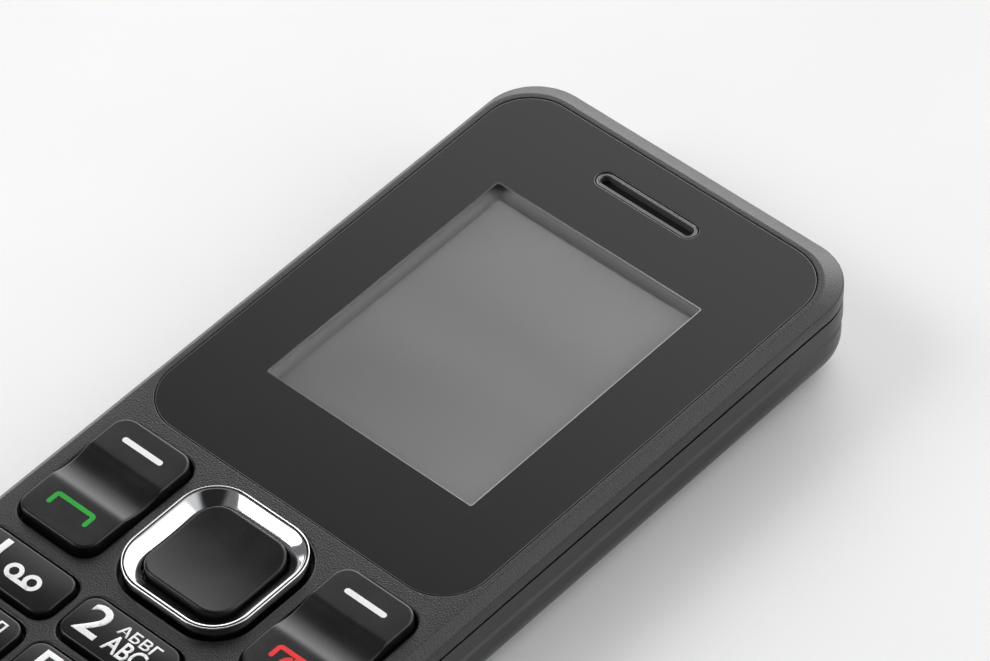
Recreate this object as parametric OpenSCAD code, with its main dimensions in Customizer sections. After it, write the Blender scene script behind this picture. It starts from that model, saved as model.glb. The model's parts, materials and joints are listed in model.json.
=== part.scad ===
/* [Face] */
// Width of one number key
key_w = 12.9; // [12:0.1:14]
// Length of one number key along the phone
key_l = 6.0; // [5.4:0.1:7]
// Corner radius of a number key
key_r = 1.6; // [1:0.1:2.4]
// Bar of housing between two key columns
column_gap = 1.8; // [1.7:0.1:3]
// Bar of housing between two key rows
row_gap = 1.75; // [1.6:0.05:3]
// Distance from the outer keys to the side of the body
side_margin = 2.85; // [2.75:0.05:4]
// Distance from the last key row to the lower end of the body
bottom_margin = 5.6; // [5.5:0.05:8]
// Length of the display lens
lens_l = 61.2; // [59:0.2:66]
// Corner radius of the display lens
lens_r = 5.8; // [4:0.1:7]
// Bar of housing between the lens and the rocker keys
lens_key_gap = 2.3; // [2:0.1:4]
// Bar of housing between the rocker keys and the first number row
pad_gap = 2.7; // [2:0.1:4]
// Flat rim of housing round the lens
rim_flat = 0.65; // [0.5:0.05:1]
// Width and height of the bevel along the two long sides
side_bevel = 1.05; // [0.7:0.05:1.4]
// Width of the curved slope at the two ends
end_slope = 2.15; // [1.6:0.05:2.6]
// Height of the curved slope at the two ends
end_slope_h = 1.15; // [1:0.05:1.5]
// Radius of the curve of that slope
end_curve_r = 4; // [3:0.1:6]
// Corner radius of the body seen from the front
corner_r = 6.6; // [6:0.1:8]

/* [Display] */
// Width of the window in the lens print
window_w = 28.8; // [26:0.2:30]
// Length of the window in the lens print
window_l = 36.0; // [33:0.2:38]
// Distance from the top of the lens to the window
window_drop = 13.1; // [12:0.1:15]
// Width of the display module
lcd_w = 34; // [32:0.5:36]
// Length of the display module
lcd_l = 44; // [42:0.5:45]
// How far the display module reaches above the window
lcd_over = 3.0; // [2:0.1:4]
// Thickness of the display glass
panel_t = 1.1; // [0.8:0.1:1.5]
// Thickness of the backlight
light_t = 0.9; // [0.6:0.1:1.4]
// Sheet thickness of the display bezel
bezel_t = 0.15; // [0.1:0.05:0.3]
// Thickness of the foam between display and housing
lcd_gasket_t = 0.3; // [0.2:0.05:0.6]
// Width of the foam strips
gasket_w = 1.2; // [0.8:0.1:1.6]
// Thickness of the display lens
lens_t = 1.0; // [0.8:0.1:1.5]
// Thickness of the printed and glued layer under the lens
mask_t = 0.1; // [0.05:0.05:0.2]
// Thickness of the housing ledge under the lens
ledge_t = 1.0; // [0.8:0.1:1.4]

/* [Earpiece] */
// Width of the earpiece slot
slot_w = 13.9; // [10:0.1:16]
// Length of the earpiece slot along the phone
slot_l = 2.4; // [2.2:0.1:3]
// Distance from the top of the lens to the middle of the slot
slot_drop = 5.4; // [5:0.1:6.5]
// Wall of the trim in the slot
trim_wall = 0.45; // [0.3:0.05:0.6]
// Thickness of the earpiece mesh
mesh_t = 0.15; // [0.1:0.05:0.3]
// Width of the earpiece receiver
receiver_w = 14; // [11:0.5:16]
// Length of the earpiece receiver along the phone
receiver_l = 6; // [5:0.2:7]

/* [Keys] */
// Height of the number keys above the face
key_rise = 0.7; // [0.4:0.05:1.2]
// Width of a rocker key
rocker_w = 10.4; // [9.6:0.1:11]
// Length of a rocker key
rocker_l = 16.3; // [15:0.1:18]
// Corner radius of a rocker key
rocker_r = 1.9; // [1.2:0.1:3]
// How far the rocker keys stand in from the sides of the keypad
rocker_in = 0.3; // [0:0.1:0.8]
// Height of the rocker keys above the face
rocker_rise = 1.1; // [0.8:0.05:1.4]
// Depth of the dip across the middle of a rocker key
dip_depth = 0.55; // [0.4:0.05:0.9]
// Length of that dip along the phone
dip_l = 5.8; // [5:0.1:9]
// How far that dip lies above the middle of the key
dip_up = 0.2; // [0:0.1:2]
// Width of the navigation ring
nav_w = 16.3; // [15:0.1:17]
// Length of the navigation ring along the phone
nav_l = 16.4; // [15.5:0.1:17.5]
// Corner radius of the navigation ring
nav_r = 4.8; // [4:0.1:5.5]
// Height of the navigation ring above the face
nav_rise = 1.3; // [1:0.05:1.6]
// Width of the ring's metal band
ring_band = 2.05; // [1.9:0.05:2.3]
// Width of the ring's top rim
ring_rim = 0.85; // [0.4:0.05:0.9]
// Depth of the bevel inside the ring
ring_bevel = 0.95; // [0.5:0.05:1]
// Height of the centre key above the face
center_rise = 1.1; // [0.8:0.05:1.4]
// Depth of the dish in the centre key
dish_depth = 0.25; // [0.1:0.05:0.4]
// Rounding of the key edges
key_edge = 0.45; // [0.25:0.05:0.6]
// Travel of a pressed key
key_travel = 0.35; // [0.2:0.05:0.45]
// Tilt of the rocker keys and of the navigation ring, in degrees
key_tilt = 2; // [1:0.25:2.25]
// Width of the flange that keeps a key in
flange_w = 0.45; // [0.35:0.05:0.5]
// Thickness of that flange
flange_t = 0.6; // [0.4:0.05:0.7]
// Thickness of the housing plate round the keys
plate_t = 1.2; // [1:0.05:1.4]
// Radius of the plunger under a key
plunger_r = 1.2; // [0.8:0.1:1.4]
// Radius of a click dome
dome_r = 2.0; // [1.6:0.1:2.2]
// Height of a click dome
dome_h = 0.25; // [0.15:0.05:0.3]
// Thickness of the silicone mat
mat_t = 0.5; // [0.3:0.05:0.6]

/* [Shells] */
// Height of the front housing at the side, from the seam to the face
front_h = 3.0; // [2.8:0.05:3.4]
// Open seam between front housing and back cover
seam_gap = 0.2; // [0.1:0.05:0.3]
// Bevel of the front housing's lower edge, above the seam
seam_edge = 0.3; // [0.2:0.05:0.4]
// Thickness of the cover's lip outside the groove along the seam
seam_lip = 0.12; // [0.1:0.02:0.2]
// Width of that groove
seam_groove_w = 0.35; // [0.25:0.05:0.5]
// Depth of that groove
seam_groove_d = 0.5; // [0.3:0.05:0.7]
// Wall of the front housing at the seam
front_wall = 2.0; // [1.9:0.05:2.2]
// How far the back cover stands inside the front housing's outline
cover_in = 0.2; // [0.1:0.05:0.3]
// Wall of the back cover
cover_wall = 1.0; // [0.8:0.05:1.1]
// Rounding along the edge of the back
back_r = 3.8; // [3:0.1:4.4]
// How far the cover's upper band stands out over its lower part
band_out = 0.15; // [0.05:0.05:0.15]
// Height of the step line along the sides above the back
step_z = 5.9; // [5.4:0.1:6.4]
// Depth of the step line
step_in = 0.3; // [0.15:0.05:0.4]
// Height of the rounded edge on each side of the step line
step_h = 0.5; // [0.3:0.05:0.7]
// Wall of the inner frame
chassis_wall = 1.1; // [0.9:0.05:1.2]
// Thickness of the inner frame's deck
deck_t = 0.7; // [0.6:0.05:1]
// Thickness of the ribs below the deck
rib_t = 0.8; // [0.6:0.05:1]

/* [Inside] */
// Thickness of the battery
battery_t = 4.6; // [4:0.1:5.5]
// Width of the battery
battery_w = 34; // [32:0.5:35]
// Length of the battery
battery_l = 53; // [50:0.5:53.5]
// Thickness of the circuit board
board_t = 0.8; // [0.6:0.1:1]
// Radius of a screw's thread
screw_r = 0.6; // [0.5:0.05:0.7]
// Radius of a screw's head
screw_head_r = 1.1; // [1:0.05:1.2]
// Height of a screw's head
screw_head_h = 0.7; // [0.5:0.05:0.8]
// Radius of a screw boss
boss_r = 1.1; // [1:0.05:1.15]
// Radius of the headset jack's bore
jack_bore_r = 1.8; // [1.75:0.05:2]
// Depth of the headset jack's bore
jack_bore_l = 12.5; // [11:0.5:13]
// Width of the headset jack
jack_w = 6.0; // [5.4:0.1:6.5]
// Height of the headset jack
jack_h = 5.0; // [4.8:0.05:5.1]
// Width of the charging socket's opening
usb_w = 7.5; // [7:0.1:8]
// Height of the charging socket
usb_h = 2.5; // [2.2:0.1:2.6]
// Length of the charging socket
usb_l = 4.9; // [4.5:0.1:5]
// Radius of the loudspeaker
speaker_r = 7.5; // [6:0.1:7.8]
// Height of the loudspeaker
speaker_h = 3.4; // [2.6:0.1:3.6]
// Radius of the vibration motor
motor_r = 1.75; // [1.5:0.05:1.8]
// Length of the vibration motor
motor_l = 6.0; // [5:0.1:6.5]
// Radius of the camera's window
camera_window_r = 3.0; // [2.8:0.1:3.5]
// Side of the square camera module
camera_w = 6.5; // [6:0.1:7]

/* [Hidden] */
$fn = 48;
// General clearance between neighbouring pieces
clear = 0.1;
// Slip clearance of keys in their openings
key_clear = 0.2;
// Clearance of the ring in its opening
nav_clear = 0.3;
// Clearance of pieces that only sit close
fit = 0.05;
// Clearance round soldered parts, in the deck and the mat
solder_clear = 0.3;
// Overlap of shapes that are one solid
fuse = 0.2;
// Reach of a cut past the face that it opens
over = 1;

// Heights, stacked from the back upwards: the deck clears both the battery and the headset jack
cover_t = cover_wall;
battery_z0 = cover_t + clear;
jack_lift = 0.5;
deck_z0 = cover_t + max(battery_t + 2 * clear, jack_lift + jack_h - deck_t);
deck_z1 = deck_z0 + deck_t;
board_z1 = deck_z1 + board_t;
light_z0 = board_z1 + bezel_t;
panel_z0 = light_z0 + light_t;
panel_z1 = panel_z0 + panel_t;
bezel_z1 = panel_z1 + bezel_t;
ledge_z0 = bezel_z1 + lcd_gasket_t;
ledge_z1 = ledge_z0 + ledge_t;
lens_z0 = ledge_z1 + mask_t;
face_z = lens_z0 + lens_t;
seam_z = face_z - front_h;
cover_z1 = seam_z - seam_gap;
plate_z = face_z - plate_t;

// Walls, from the outside inwards
cover_slip = 0.3;
chassis_in = cover_in + cover_wall + cover_slip;
chassis_z0 = cover_t + back_r - cover_wall;
inner_in = chassis_in + chassis_wall;
board_in = inner_in + clear;
boss_in = 0.5;

// Width: the widest of the number keys, the ring between the rocker keys, and the battery bay
nav_flange_spare = 0.15;
nav_flange_w = nav_clear + flange_w + nav_flange_spare;
base_w = nav_w + 2 * nav_flange_w;
base_l = nav_l + 2 * nav_flange_w;
keypad_w = max(3 * key_w + 2 * column_gap, base_w + 2 * (rocker_w + rocker_in + flange_w + clear));
bay_gap = 0.3;
bay_w = battery_w + 2 * bay_gap;
bay_l = battery_l + 2 * bay_gap;
inside_w = bay_w + 2 * (rib_t + clear + 2 * max(boss_r, screw_head_r) + boss_in + inner_in);
body_w = max(keypad_w + 2 * side_margin, inside_w);

// Length of the pieces inside, stacked from the lower end to the upper end
jack_end = 1;
jack_l = jack_bore_l + jack_end;
jack_gap = 2.4;
connector_gap = 0.6;
connector_l = 2.6;
socket_gap = 1;
sim_l = 17.5;
card_l = 12;
card_gap = 0.8;
camera_drop = 1.2;
speaker_drop = 3;
speaker_seat_r = speaker_r + clear + rib_t;
upper_l = max(card_l + card_gap + camera_w + camera_drop, 2 * speaker_seat_r + speaker_drop);
inside_l = 2 * inner_in + fit + jack_l + jack_gap + rib_t + bay_gap + battery_l + connector_gap
    + connector_l + 2 * socket_gap + sim_l + upper_l;

// Length of the face: the rocker keys clear the lens and, inside, the display's flex
keypad_l = 4 * key_l + 3 * row_gap;
top_rim = rim_flat + end_slope;
nav_over = 0.15;
nav_half = max(rocker_l / 2, nav_l / 2 - nav_over);
base_post_y = (nav_l - ring_band) / 2;
mat_skirt = 0.8;
mat_half = base_post_y + dome_r + clear + mat_skirt;
flex_reach = 2.2;
display_drop = window_drop - lcd_over + lcd_l + flex_reach;
rocker_drop = max(lens_l + lens_key_gap, display_drop + clear + mat_half - nav_half);

// The chin below the number keys clears the end bosses and the charging socket
usb_in = cover_in + cover_wall + key_clear;
boss_chin = inner_in + fit + 2 * boss_r + clear + flange_w;
usb_chin = usb_in + usb_l + clear + dome_r - key_l / 2;
chin = max(bottom_margin, boss_chin, usb_chin);
face_l = top_rim + rocker_drop + 2 * nav_half + pad_gap + keypad_l + chin;
body_l = max(face_l, inside_l);

// Places on the face
lens_top = body_l / 2 - top_rim;
lens_y = lens_top - lens_l / 2;
lens_gap = 0.1;
pocket_w = body_w - 2 * (rim_flat + side_bevel);
window_y = lens_top - window_drop - window_l / 2;
slot_y = lens_top - slot_drop;
nav_y = lens_top - rocker_drop - nav_half;
row0_y = nav_y - nav_half - pad_gap - key_l / 2;
rocker_x = keypad_w / 2 - rocker_in - rocker_w / 2;
function column_x(c) = (c - 1) * (key_w + column_gap);
function row_y(r) = row0_y - r * (key_l + row_gap);

// Display module
lcd_y = window_y + window_l / 2 + lcd_over - lcd_l / 2;
bezel_side = 1.4;
bezel_top = 1.8;
bezel_foot = 3.8;
flex_w = 15;
flex_t = 0.15;

// Earpiece
receiver_z1 = ledge_z0 - lcd_gasket_t;
receiver_r = 1.5;
sound_in = 1.5;
sound_w = slot_w - 2 * sound_in;
sound_l = 1;

// Keypad: the tilting keys set how deep the mat lies
tilt_half = max(rocker_l / 2 + flange_w, base_l / 2);
tilt_room = tilt_half * sin(key_tilt) + clear;
swing_z1 = plate_z - tilt_room;
swing_z0 = swing_z1 - flange_t;
key_z1 = plate_z - clear;
key_z0 = key_z1 - flange_t;
mat_z1 = swing_z0 - max(tilt_room, key_travel + clear);
mat_z0 = mat_z1 - mat_t;
dome_z1 = board_z1 + dome_h;
plunger_z0 = dome_z1 + key_travel + clear;
plunger_clear = 0.3;
ridge_w = 0.8;
rocker_dome_y = rocker_l / 3;
center_w = nav_w - 2 * ring_band - 2 * key_clear;
center_l = nav_l - 2 * ring_band - 2 * key_clear;
center_r = nav_r - ring_band;
center_flange = 0.5;
base_hole_w = center_w + 2 * center_flange + 2 * key_clear;
base_hole_l = center_l + 2 * center_flange + 2 * key_clear;
base_ridge_l = (nav_l - base_hole_l) / 2 - key_clear;
ring_z0 = swing_z1 + nav_w / 2 * sin(key_tilt) + clear;
ring_post_r = 0.5;
ring_post_x = (nav_w - ring_band) / 2;
mat_in = 0.6;

// Board and screws
board_w = body_w - 2 * board_in;
board_l = body_l - 2 * board_in;
side_boss_x = body_w / 2 - inner_in - boss_r - boss_in;
corner_boss_in = 1.2;
corner_boss_x = side_boss_x - corner_boss_in;
corner_boss_drop = 0.9;
top_boss_y = body_l / 2 - corner_r - corner_boss_drop;
mid_boss_up = 1.5;
mid_boss_y = lens_top - lens_l + boss_r + mid_boss_up;
end_boss_in = 2.2;
end_boss_x = body_w / 2 - corner_r - end_boss_in;
end_boss_y = -body_l / 2 + inner_in + boss_r + fit;
bosses = [
    [corner_boss_x, top_boss_y, ledge_z0],
    [side_boss_x, mid_boss_y, ledge_z0],
    [end_boss_x, end_boss_y, plate_z],
];
pilot_top = 0.6;
screw_tip = 0.4;

// Ports at the lower end
port_end = -body_l / 2;
jack_x = -11;
jack_z = deck_z1 - jack_h / 2;
jack_front = port_end + inner_in + fit;
plug_r = 2.7;
usb_z0 = deck_z1 + board_t / 2 - usb_h / 2;
usb_front = port_end + usb_in;
usb_wall = 0.3;
usb_open_gap = 0.55;
usb_open_w = usb_w + 2 * usb_open_gap;
usb_open_z = 0.3;
mic_x = 10.5;
mic_w = 3;
mic_l = 2;
mic_h = 1;
mic_hole_r = 0.45;
mic_y = port_end + board_in + mic_l / 2;

// Battery, its contacts and the cards, from the headset jack upwards
battery_y = jack_front + jack_l + jack_gap + rib_t + bay_gap + battery_l / 2;
battery_top = battery_y + battery_l / 2;
bay_lift = 0.5;
bay_z0 = battery_z0 + bay_lift;
connector_w = 12;
connector_lift = 1.3;
connector_z0 = battery_z0 + connector_lift;
connector_y = battery_top + connector_gap + connector_l / 2;
spring_w = 1.2;
spring_pitch = 3.5;
spring_t = 0.25;
sim_w = 16.5;
sim_h = 1.4;
sim_gap = 3;
sim_slot_w = 13.5;
sim_slot_h = 0.8;
sim_y = connector_y + connector_l / 2 + socket_gap + sim_l / 2;
card_w = 12.5;
card_h = 1.3;
card_slot_w = 11.2;
card_slot_h = 0.7;
card_in = 2.4;
card_x = body_w / 2 - inner_in - card_w / 2 - card_in;
card_y = sim_y + sim_l / 2 + socket_gap + card_l / 2;
can_w = 26;
can_l = 19;
can_h = deck_t - clear;
can_gap = 2.4;
can_wall = 0.2;

// Loudspeaker, camera, motor and antenna
speaker_x = -9.5;
speaker_y = body_l / 2 - inner_in - speaker_drop - speaker_seat_r;
speaker_z0 = deck_z0 - speaker_h;
grille_slots = 5;
grille_pitch = 2.2;
grille_w = 1;
grille_l = 8;
camera_x = 5.2;
camera_y = body_l / 2 - inner_in - camera_drop - camera_w / 2;
camera_h = 2.4;
camera_z0 = deck_z1 - camera_h;
camera_barrel_r = 2.3;
camera_seat = 0.6;
camera_hole_r = camera_window_r - camera_seat;
camera_window_t = 0.6;
camera_recess = 0.15;
motor_x = 8.5;
motor_drop = 0.5;
motor_y = battery_y - bay_l / 2 - rib_t - motor_drop - motor_r;
motor_lift = 0.2;
motor_z = deck_z0 - motor_r - motor_lift;
motor_shaft_r = 0.4;
motor_gap = 0.4;
weight_l = 3;
weight_r = motor_r - fit;
antenna_w = 12;
antenna_l = 8;
antenna_t = 0.2;
antenna_leg = 1;
antenna_y = motor_y + motor_r - antenna_l / 2;

// Rounded rectangle outline about the origin
module rounded(w, l, r) {
    square([w - 2 * r, l], center = true);
    square([w, l - 2 * r], center = true);
    for (x = [-1, 1], y = [-1, 1]) translate([x * (w / 2 - r), y * (l / 2 - r)]) circle(r);
}

// Rounded rectangle plate between two heights
module plate(w, l, r, z0, z1) {
    translate([0, 0, z0]) linear_extrude(z1 - z0) rounded(w, l, r);
}

// Plain box by its middle in plan and its two heights
module box(w, l, z0, z1) {
    translate([-w / 2, -l / 2, z0]) cube([w, l, z1 - z0]);
}

// Solid swept round a rounded rectangle: the outline is drawn from the corner's centre outwards
module swept(w, l, r, z0, z1) {
    dx = w / 2 - r;
    dy = l / 2 - r;
    for (x = [-dx, dx], y = [-dy, dy]) translate([x, y, 0]) rotate_extrude() children();
    for (s = [0, 1]) mirror([0, s, 0])
        translate([-dx, dy, 0]) rotate([90, 0, 90]) linear_extrude(2 * dx) children();
    for (s = [0, 1]) mirror([s, 0, 0])
        translate([dx, dy, 0]) rotate([90, 0, 0]) linear_extrude(2 * dy) children();
    translate([-dx, -dy, z0]) cube([2 * dx, 2 * dy, z1 - z0]);
}

// Block with a rounded top edge
module cap(w, l, r, z0, z1, edge) {
    swept(w, l, r, z0, z1) {
        translate([0, z0]) square([r, z1 - edge - z0]);
        translate([0, z0]) square([r - edge, z1 - z0]);
        translate([r - edge, z1 - edge]) intersection() {
            circle(edge);
            square(edge);
        }
    }
}

// Places children on every screw, mirrored to both sides
module at_screws() {
    for (b = bosses, s = [-1, 1]) translate([s * b.x, b.y, 0]) children();
}

// Places children on every number key
module at_number_keys() {
    for (c = [0 : 2], r = [0 : 3]) translate([column_x(c), row_y(r), 0]) children();
}

// Places children at both plungers of both rocker keys
module at_rocker_domes() {
    for (x = [-1, 1], y = [-1, 1]) translate([x * rocker_x, nav_y + y * rocker_dome_y, 0]) children();
}

// Places children at the ring's left and right posts
module at_ring_posts() {
    for (x = [-1, 1]) translate([x * ring_post_x, nav_y, 0]) children();
}

// Places children at the carrier's upper and lower plungers
module at_base_posts() {
    for (y = [-1, 1]) translate([0, nav_y + y * base_post_y, 0]) children();
}

// Takes the upper edge off one end of the body, along a wide curve
module end_slope_cut() {
    chord = sqrt(end_slope * end_slope + end_slope_h * end_slope_h);
    reach = sqrt(end_curve_r * end_curve_r - chord * chord / 4);
    curve_y = body_l / 2 - end_slope / 2 - reach * end_slope_h / chord;
    curve_z = face_z - end_slope_h / 2 - reach * end_slope / chord;
    difference() {
        translate([-body_w, body_l / 2 - end_slope, face_z - end_slope_h])
            cube([2 * body_w, end_slope + over, end_slope_h + over]);
        translate([-body_w - over, curve_y, curve_z]) rotate([0, 90, 0])
            cylinder(r = end_curve_r, h = 2 * (body_w + over));
    }
}

module front_shell() {
    difference() {
        swept(body_w, body_l, corner_r, seam_z, face_z)
            polygon([[0, seam_z], [corner_r - seam_edge, seam_z], [corner_r, seam_z + seam_edge],
                [corner_r, face_z - side_bevel], [corner_r - side_bevel, face_z], [0, face_z]]);
        for (s = [0, 1]) mirror([0, s, 0]) end_slope_cut();
    }
}

module key_openings() {
    at_number_keys()
        plate(key_w + 2 * key_clear, key_l + 2 * key_clear, key_r + key_clear, plate_z - over, face_z + over);
    for (x = [-1, 1]) translate([x * rocker_x, nav_y, 0])
        plate(rocker_w + 2 * key_clear, rocker_l + 2 * key_clear, rocker_r + key_clear,
            plate_z - over, face_z + over);
    translate([0, nav_y, 0])
        plate(nav_w + 2 * nav_clear, nav_l + 2 * nav_clear, nav_r + nav_clear, plate_z - over, face_z + over);
}

module front_housing() {
    cavity_w = body_w - 2 * front_wall;
    cavity_l = body_l - 2 * front_wall;
    cavity_r = corner_r - front_wall;
    keypad_cavity_l = cavity_l / 2 + nav_y + nav_half + lens_key_gap / 2;
    color("#3a3a3b") difference() {
        union() {
            difference() {
                front_shell();
                plate(cavity_w, cavity_l, cavity_r, seam_z - over, ledge_z0);
                intersection() {
                    plate(cavity_w, cavity_l, cavity_r, seam_z - over, plate_z);
                    translate([0, (keypad_cavity_l - cavity_l) / 2, 0])
                        box(cavity_w, keypad_cavity_l, seam_z - over, plate_z);
                }
            }
            for (b = bosses, s = [-1, 1]) translate([s * b.x, b.y, board_z1])
                cylinder(r = boss_r, h = b.z - board_z1);
        }
        translate([0, lens_y, 0]) plate(pocket_w, lens_l, lens_r + lens_gap, ledge_z1, face_z + over);
        translate([0, window_y, 0])
            plate(window_w + 2 * gasket_w, window_l + 2 * gasket_w, gasket_w, ledge_z0 - over, face_z);
        translate([0, slot_y, 0]) plate(sound_w, sound_l, sound_l / 2 - fit, ledge_z0 - over, face_z);
        key_openings();
        translate([mic_x, mic_y, board_z1]) cylinder(r = mic_hole_r, h = face_z);
        at_screws() translate([0, 0, board_z1 - over])
            cylinder(r = screw_r + fit, h = ledge_z0 - pilot_top - board_z1 + over);
    }
}

module display_lens() {
    color("#2b2b2c") difference() {
        translate([0, lens_y, 0])
            plate(pocket_w - 2 * lens_gap, lens_l - 2 * lens_gap, lens_r, lens_z0, face_z);
        translate([0, slot_y, 0]) plate(slot_w, slot_l, slot_l / 2 - fit, lens_z0 - over, face_z + over);
    }
}

module lens_mask() {
    color("#1a1a1a") difference() {
        translate([0, lens_y, 0])
            plate(pocket_w - 2 * lens_gap, lens_l - 2 * lens_gap, lens_r, ledge_z1, lens_z0);
        translate([0, window_y, 0]) box(window_w, window_l, ledge_z1 - over, lens_z0 + over);
        translate([0, slot_y, 0]) plate(slot_w, slot_l, slot_l / 2 - fit, ledge_z1 - over, lens_z0 + over);
    }
}

module earpiece_trim() {
    trim_w = slot_w - 2 * lens_gap;
    trim_l = slot_l - 2 * lens_gap;
    bore_w = trim_w - 2 * trim_wall;
    bore_l = trim_l - 2 * trim_wall;
    color("#4a4a4a") translate([0, slot_y, 0]) difference() {
        plate(trim_w, trim_l, trim_l / 2 - fit, ledge_z1 + mesh_t, face_z - fit);
        plate(bore_w, bore_l, bore_l / 2 - fit, ledge_z1, face_z + over);
    }
}

module earpiece_mesh() {
    mesh_w = slot_w - 2 * lens_gap;
    mesh_l = slot_l - 2 * lens_gap;
    color("#151515") translate([0, slot_y, 0])
        plate(mesh_w, mesh_l, mesh_l / 2 - fit, ledge_z1, ledge_z1 + mesh_t);
}

module earpiece_gasket() {
    color("#202020") translate([0, slot_y, 0]) difference() {
        plate(receiver_w, receiver_l, receiver_r, receiver_z1, ledge_z0);
        plate(receiver_w - 2 * gasket_w, receiver_l - 2 * gasket_w, receiver_r / 2,
            receiver_z1 - over, ledge_z0 + over);
    }
}

module earpiece_receiver() {
    port_r = 0.5;
    port_pitch = 2;
    cone_h = 0.5;
    color("#8d8f92") translate([0, slot_y, 0]) difference() {
        plate(receiver_w, receiver_l, receiver_r, board_z1, receiver_z1);
        for (i = [-2 : 2]) translate([i * port_pitch, 0, receiver_z1 - cone_h])
            cylinder(r = port_r, h = cone_h + over);
    }
}

module lcd_gasket() {
    color("#1d1d1d") translate([0, window_y, 0]) difference() {
        plate(window_w + 4 * gasket_w, window_l + 4 * gasket_w, gasket_w, bezel_z1, ledge_z0);
        plate(window_w + 2 * gasket_w, window_l + 2 * gasket_w, gasket_w, bezel_z1 - over, ledge_z0 + over);
    }
}

module lcd_bezel() {
    color("#b9bcc0") difference() {
        translate([0, lcd_y, 0]) difference() {
            box(lcd_w, lcd_l, board_z1, bezel_z1);
            box(lcd_w - 2 * bezel_t, lcd_l - 2 * bezel_t, light_z0, panel_z1);
        }
        translate([0, lcd_y + (bezel_foot - bezel_top) / 2, 0])
            box(lcd_w - 2 * bezel_side, lcd_l - bezel_top - bezel_foot, panel_z1 - over, bezel_z1 + over);
        translate([0, lcd_y - lcd_l / 2, 0])
            box(flex_w + 2 * clear, 4 * bezel_t, panel_z0 - flex_t - clear, panel_z0 + clear);
    }
}

module lcd_panel() {
    color("#7d7d7d") translate([0, lcd_y, 0])
        box(lcd_w - 2 * bezel_t - 2 * fit, lcd_l - 2 * bezel_t - 2 * fit, panel_z0, panel_z1);
}

module lcd_backlight() {
    color("#f2f2ee") difference() {
        translate([0, lcd_y, 0])
            box(lcd_w - 2 * bezel_t - 2 * fit, lcd_l - 2 * bezel_t - 2 * fit, light_z0, panel_z0);
        translate([0, lcd_y - lcd_l / 2, 0])
            box(flex_w + 2 * clear, 2 * flex_reach, panel_z0 - flex_t - fit, panel_z0 + over);
    }
}

module lcd_flex() {
    tail_y = lcd_y - lcd_l / 2 - flex_reach;
    color("#c07a2a") {
        translate([0, tail_y + flex_reach, 0])
            box(flex_w, 2 * flex_reach - 2 * clear, panel_z0 - flex_t, panel_z0);
        translate([0, tail_y + flex_t / 2 + clear, 0]) box(flex_w, flex_t, board_z1, panel_z0);
        translate([0, tail_y + flex_reach / 3, 0]) box(flex_w, flex_reach / 2, board_z1, board_z1 + flex_t);
    }
}

module rocker_key(side) {
    top = face_z + rocker_rise;
    dip_r = (dip_l * dip_l / 4 + dip_depth * dip_depth) / (2 * dip_depth);
    color("#2a2a2b") translate([side * rocker_x, nav_y, 0]) {
        difference() {
            cap(rocker_w, rocker_l, rocker_r, swing_z0, top, key_edge);
            translate([-rocker_w, dip_up, top + dip_r - dip_depth]) rotate([0, 90, 0])
                cylinder(r = dip_r, h = 2 * rocker_w, $fn = 4 * $fn);
        }
        plate(rocker_w + 2 * flange_w, rocker_l + 2 * flange_w, rocker_r + flange_w, swing_z0, swing_z1);
        for (y = [-1, 1]) translate([0, y * rocker_dome_y, plunger_z0])
            cylinder(r = plunger_r, h = swing_z1 - plunger_z0);
    }
}

module left_rocker_key() {
    rocker_key(-1);
}

module right_rocker_key() {
    rocker_key(1);
}

module nav_ring() {
    top = face_z + nav_rise;
    hole_r = nav_r - ring_band;
    bevel_w = ring_band - ring_rim;
    color("#e4e6e8") {
        translate([0, nav_y, 0]) difference() {
            cap(nav_w, nav_l, nav_r, ring_z0, top, ring_rim / 4);
            swept(nav_w - 2 * ring_band, nav_l - 2 * ring_band, hole_r, ring_z0 - over, top + over) {
                translate([0, ring_z0 - over]) square([hole_r, top - ring_z0 + 2 * over]);
                polygon([[hole_r, top - ring_bevel], [hole_r + bevel_w, top], [hole_r + bevel_w, top + over],
                    [hole_r, top + over]]);
            }
        }
        at_ring_posts() translate([0, 0, plunger_z0])
            cylinder(r = ring_post_r, h = ring_z0 + fuse - plunger_z0);
    }
}

module nav_base() {
    color("#242425") {
        difference() {
            translate([0, nav_y, 0]) difference() {
                plate(base_w, base_l, nav_r + nav_flange_w, swing_z0, swing_z1);
                plate(base_hole_w, base_hole_l, center_r + center_flange + key_clear,
                    swing_z0 - over, swing_z1 + over);
            }
            at_ring_posts() translate([0, 0, swing_z0 - over])
                cylinder(r = ring_post_r + plunger_clear, h = flange_t + 2 * over);
        }
        for (y = [-1, 1]) translate([0, nav_y + y * (base_hole_l + base_ridge_l) / 2, 0])
            box(ridge_w, base_ridge_l, swing_z0, ring_z0 - fit);
        at_base_posts() translate([0, 0, plunger_z0])
            cylinder(r = ring_post_r, h = swing_z0 + fuse - plunger_z0);
    }
}

module nav_center_key() {
    top = face_z + center_rise;
    dish_half = center_l / 2 - 2 * key_edge;
    dish_r = (dish_half * dish_half + dish_depth * dish_depth) / (2 * dish_depth);
    color("#2a2a2b") translate([0, nav_y, 0]) {
        difference() {
            cap(center_w, center_l, center_r, swing_z0, top, key_edge);
            translate([-center_w, 0, top + dish_r - dish_depth]) rotate([0, 90, 0])
                cylinder(r = dish_r, h = 2 * center_w, $fn = 4 * $fn);
        }
        plate(center_w + 2 * center_flange, center_l + 2 * center_flange, center_r + center_flange,
            swing_z0, swing_z1);
        translate([0, 0, plunger_z0]) cylinder(r = plunger_r, h = swing_z1 - plunger_z0);
    }
}

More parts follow.
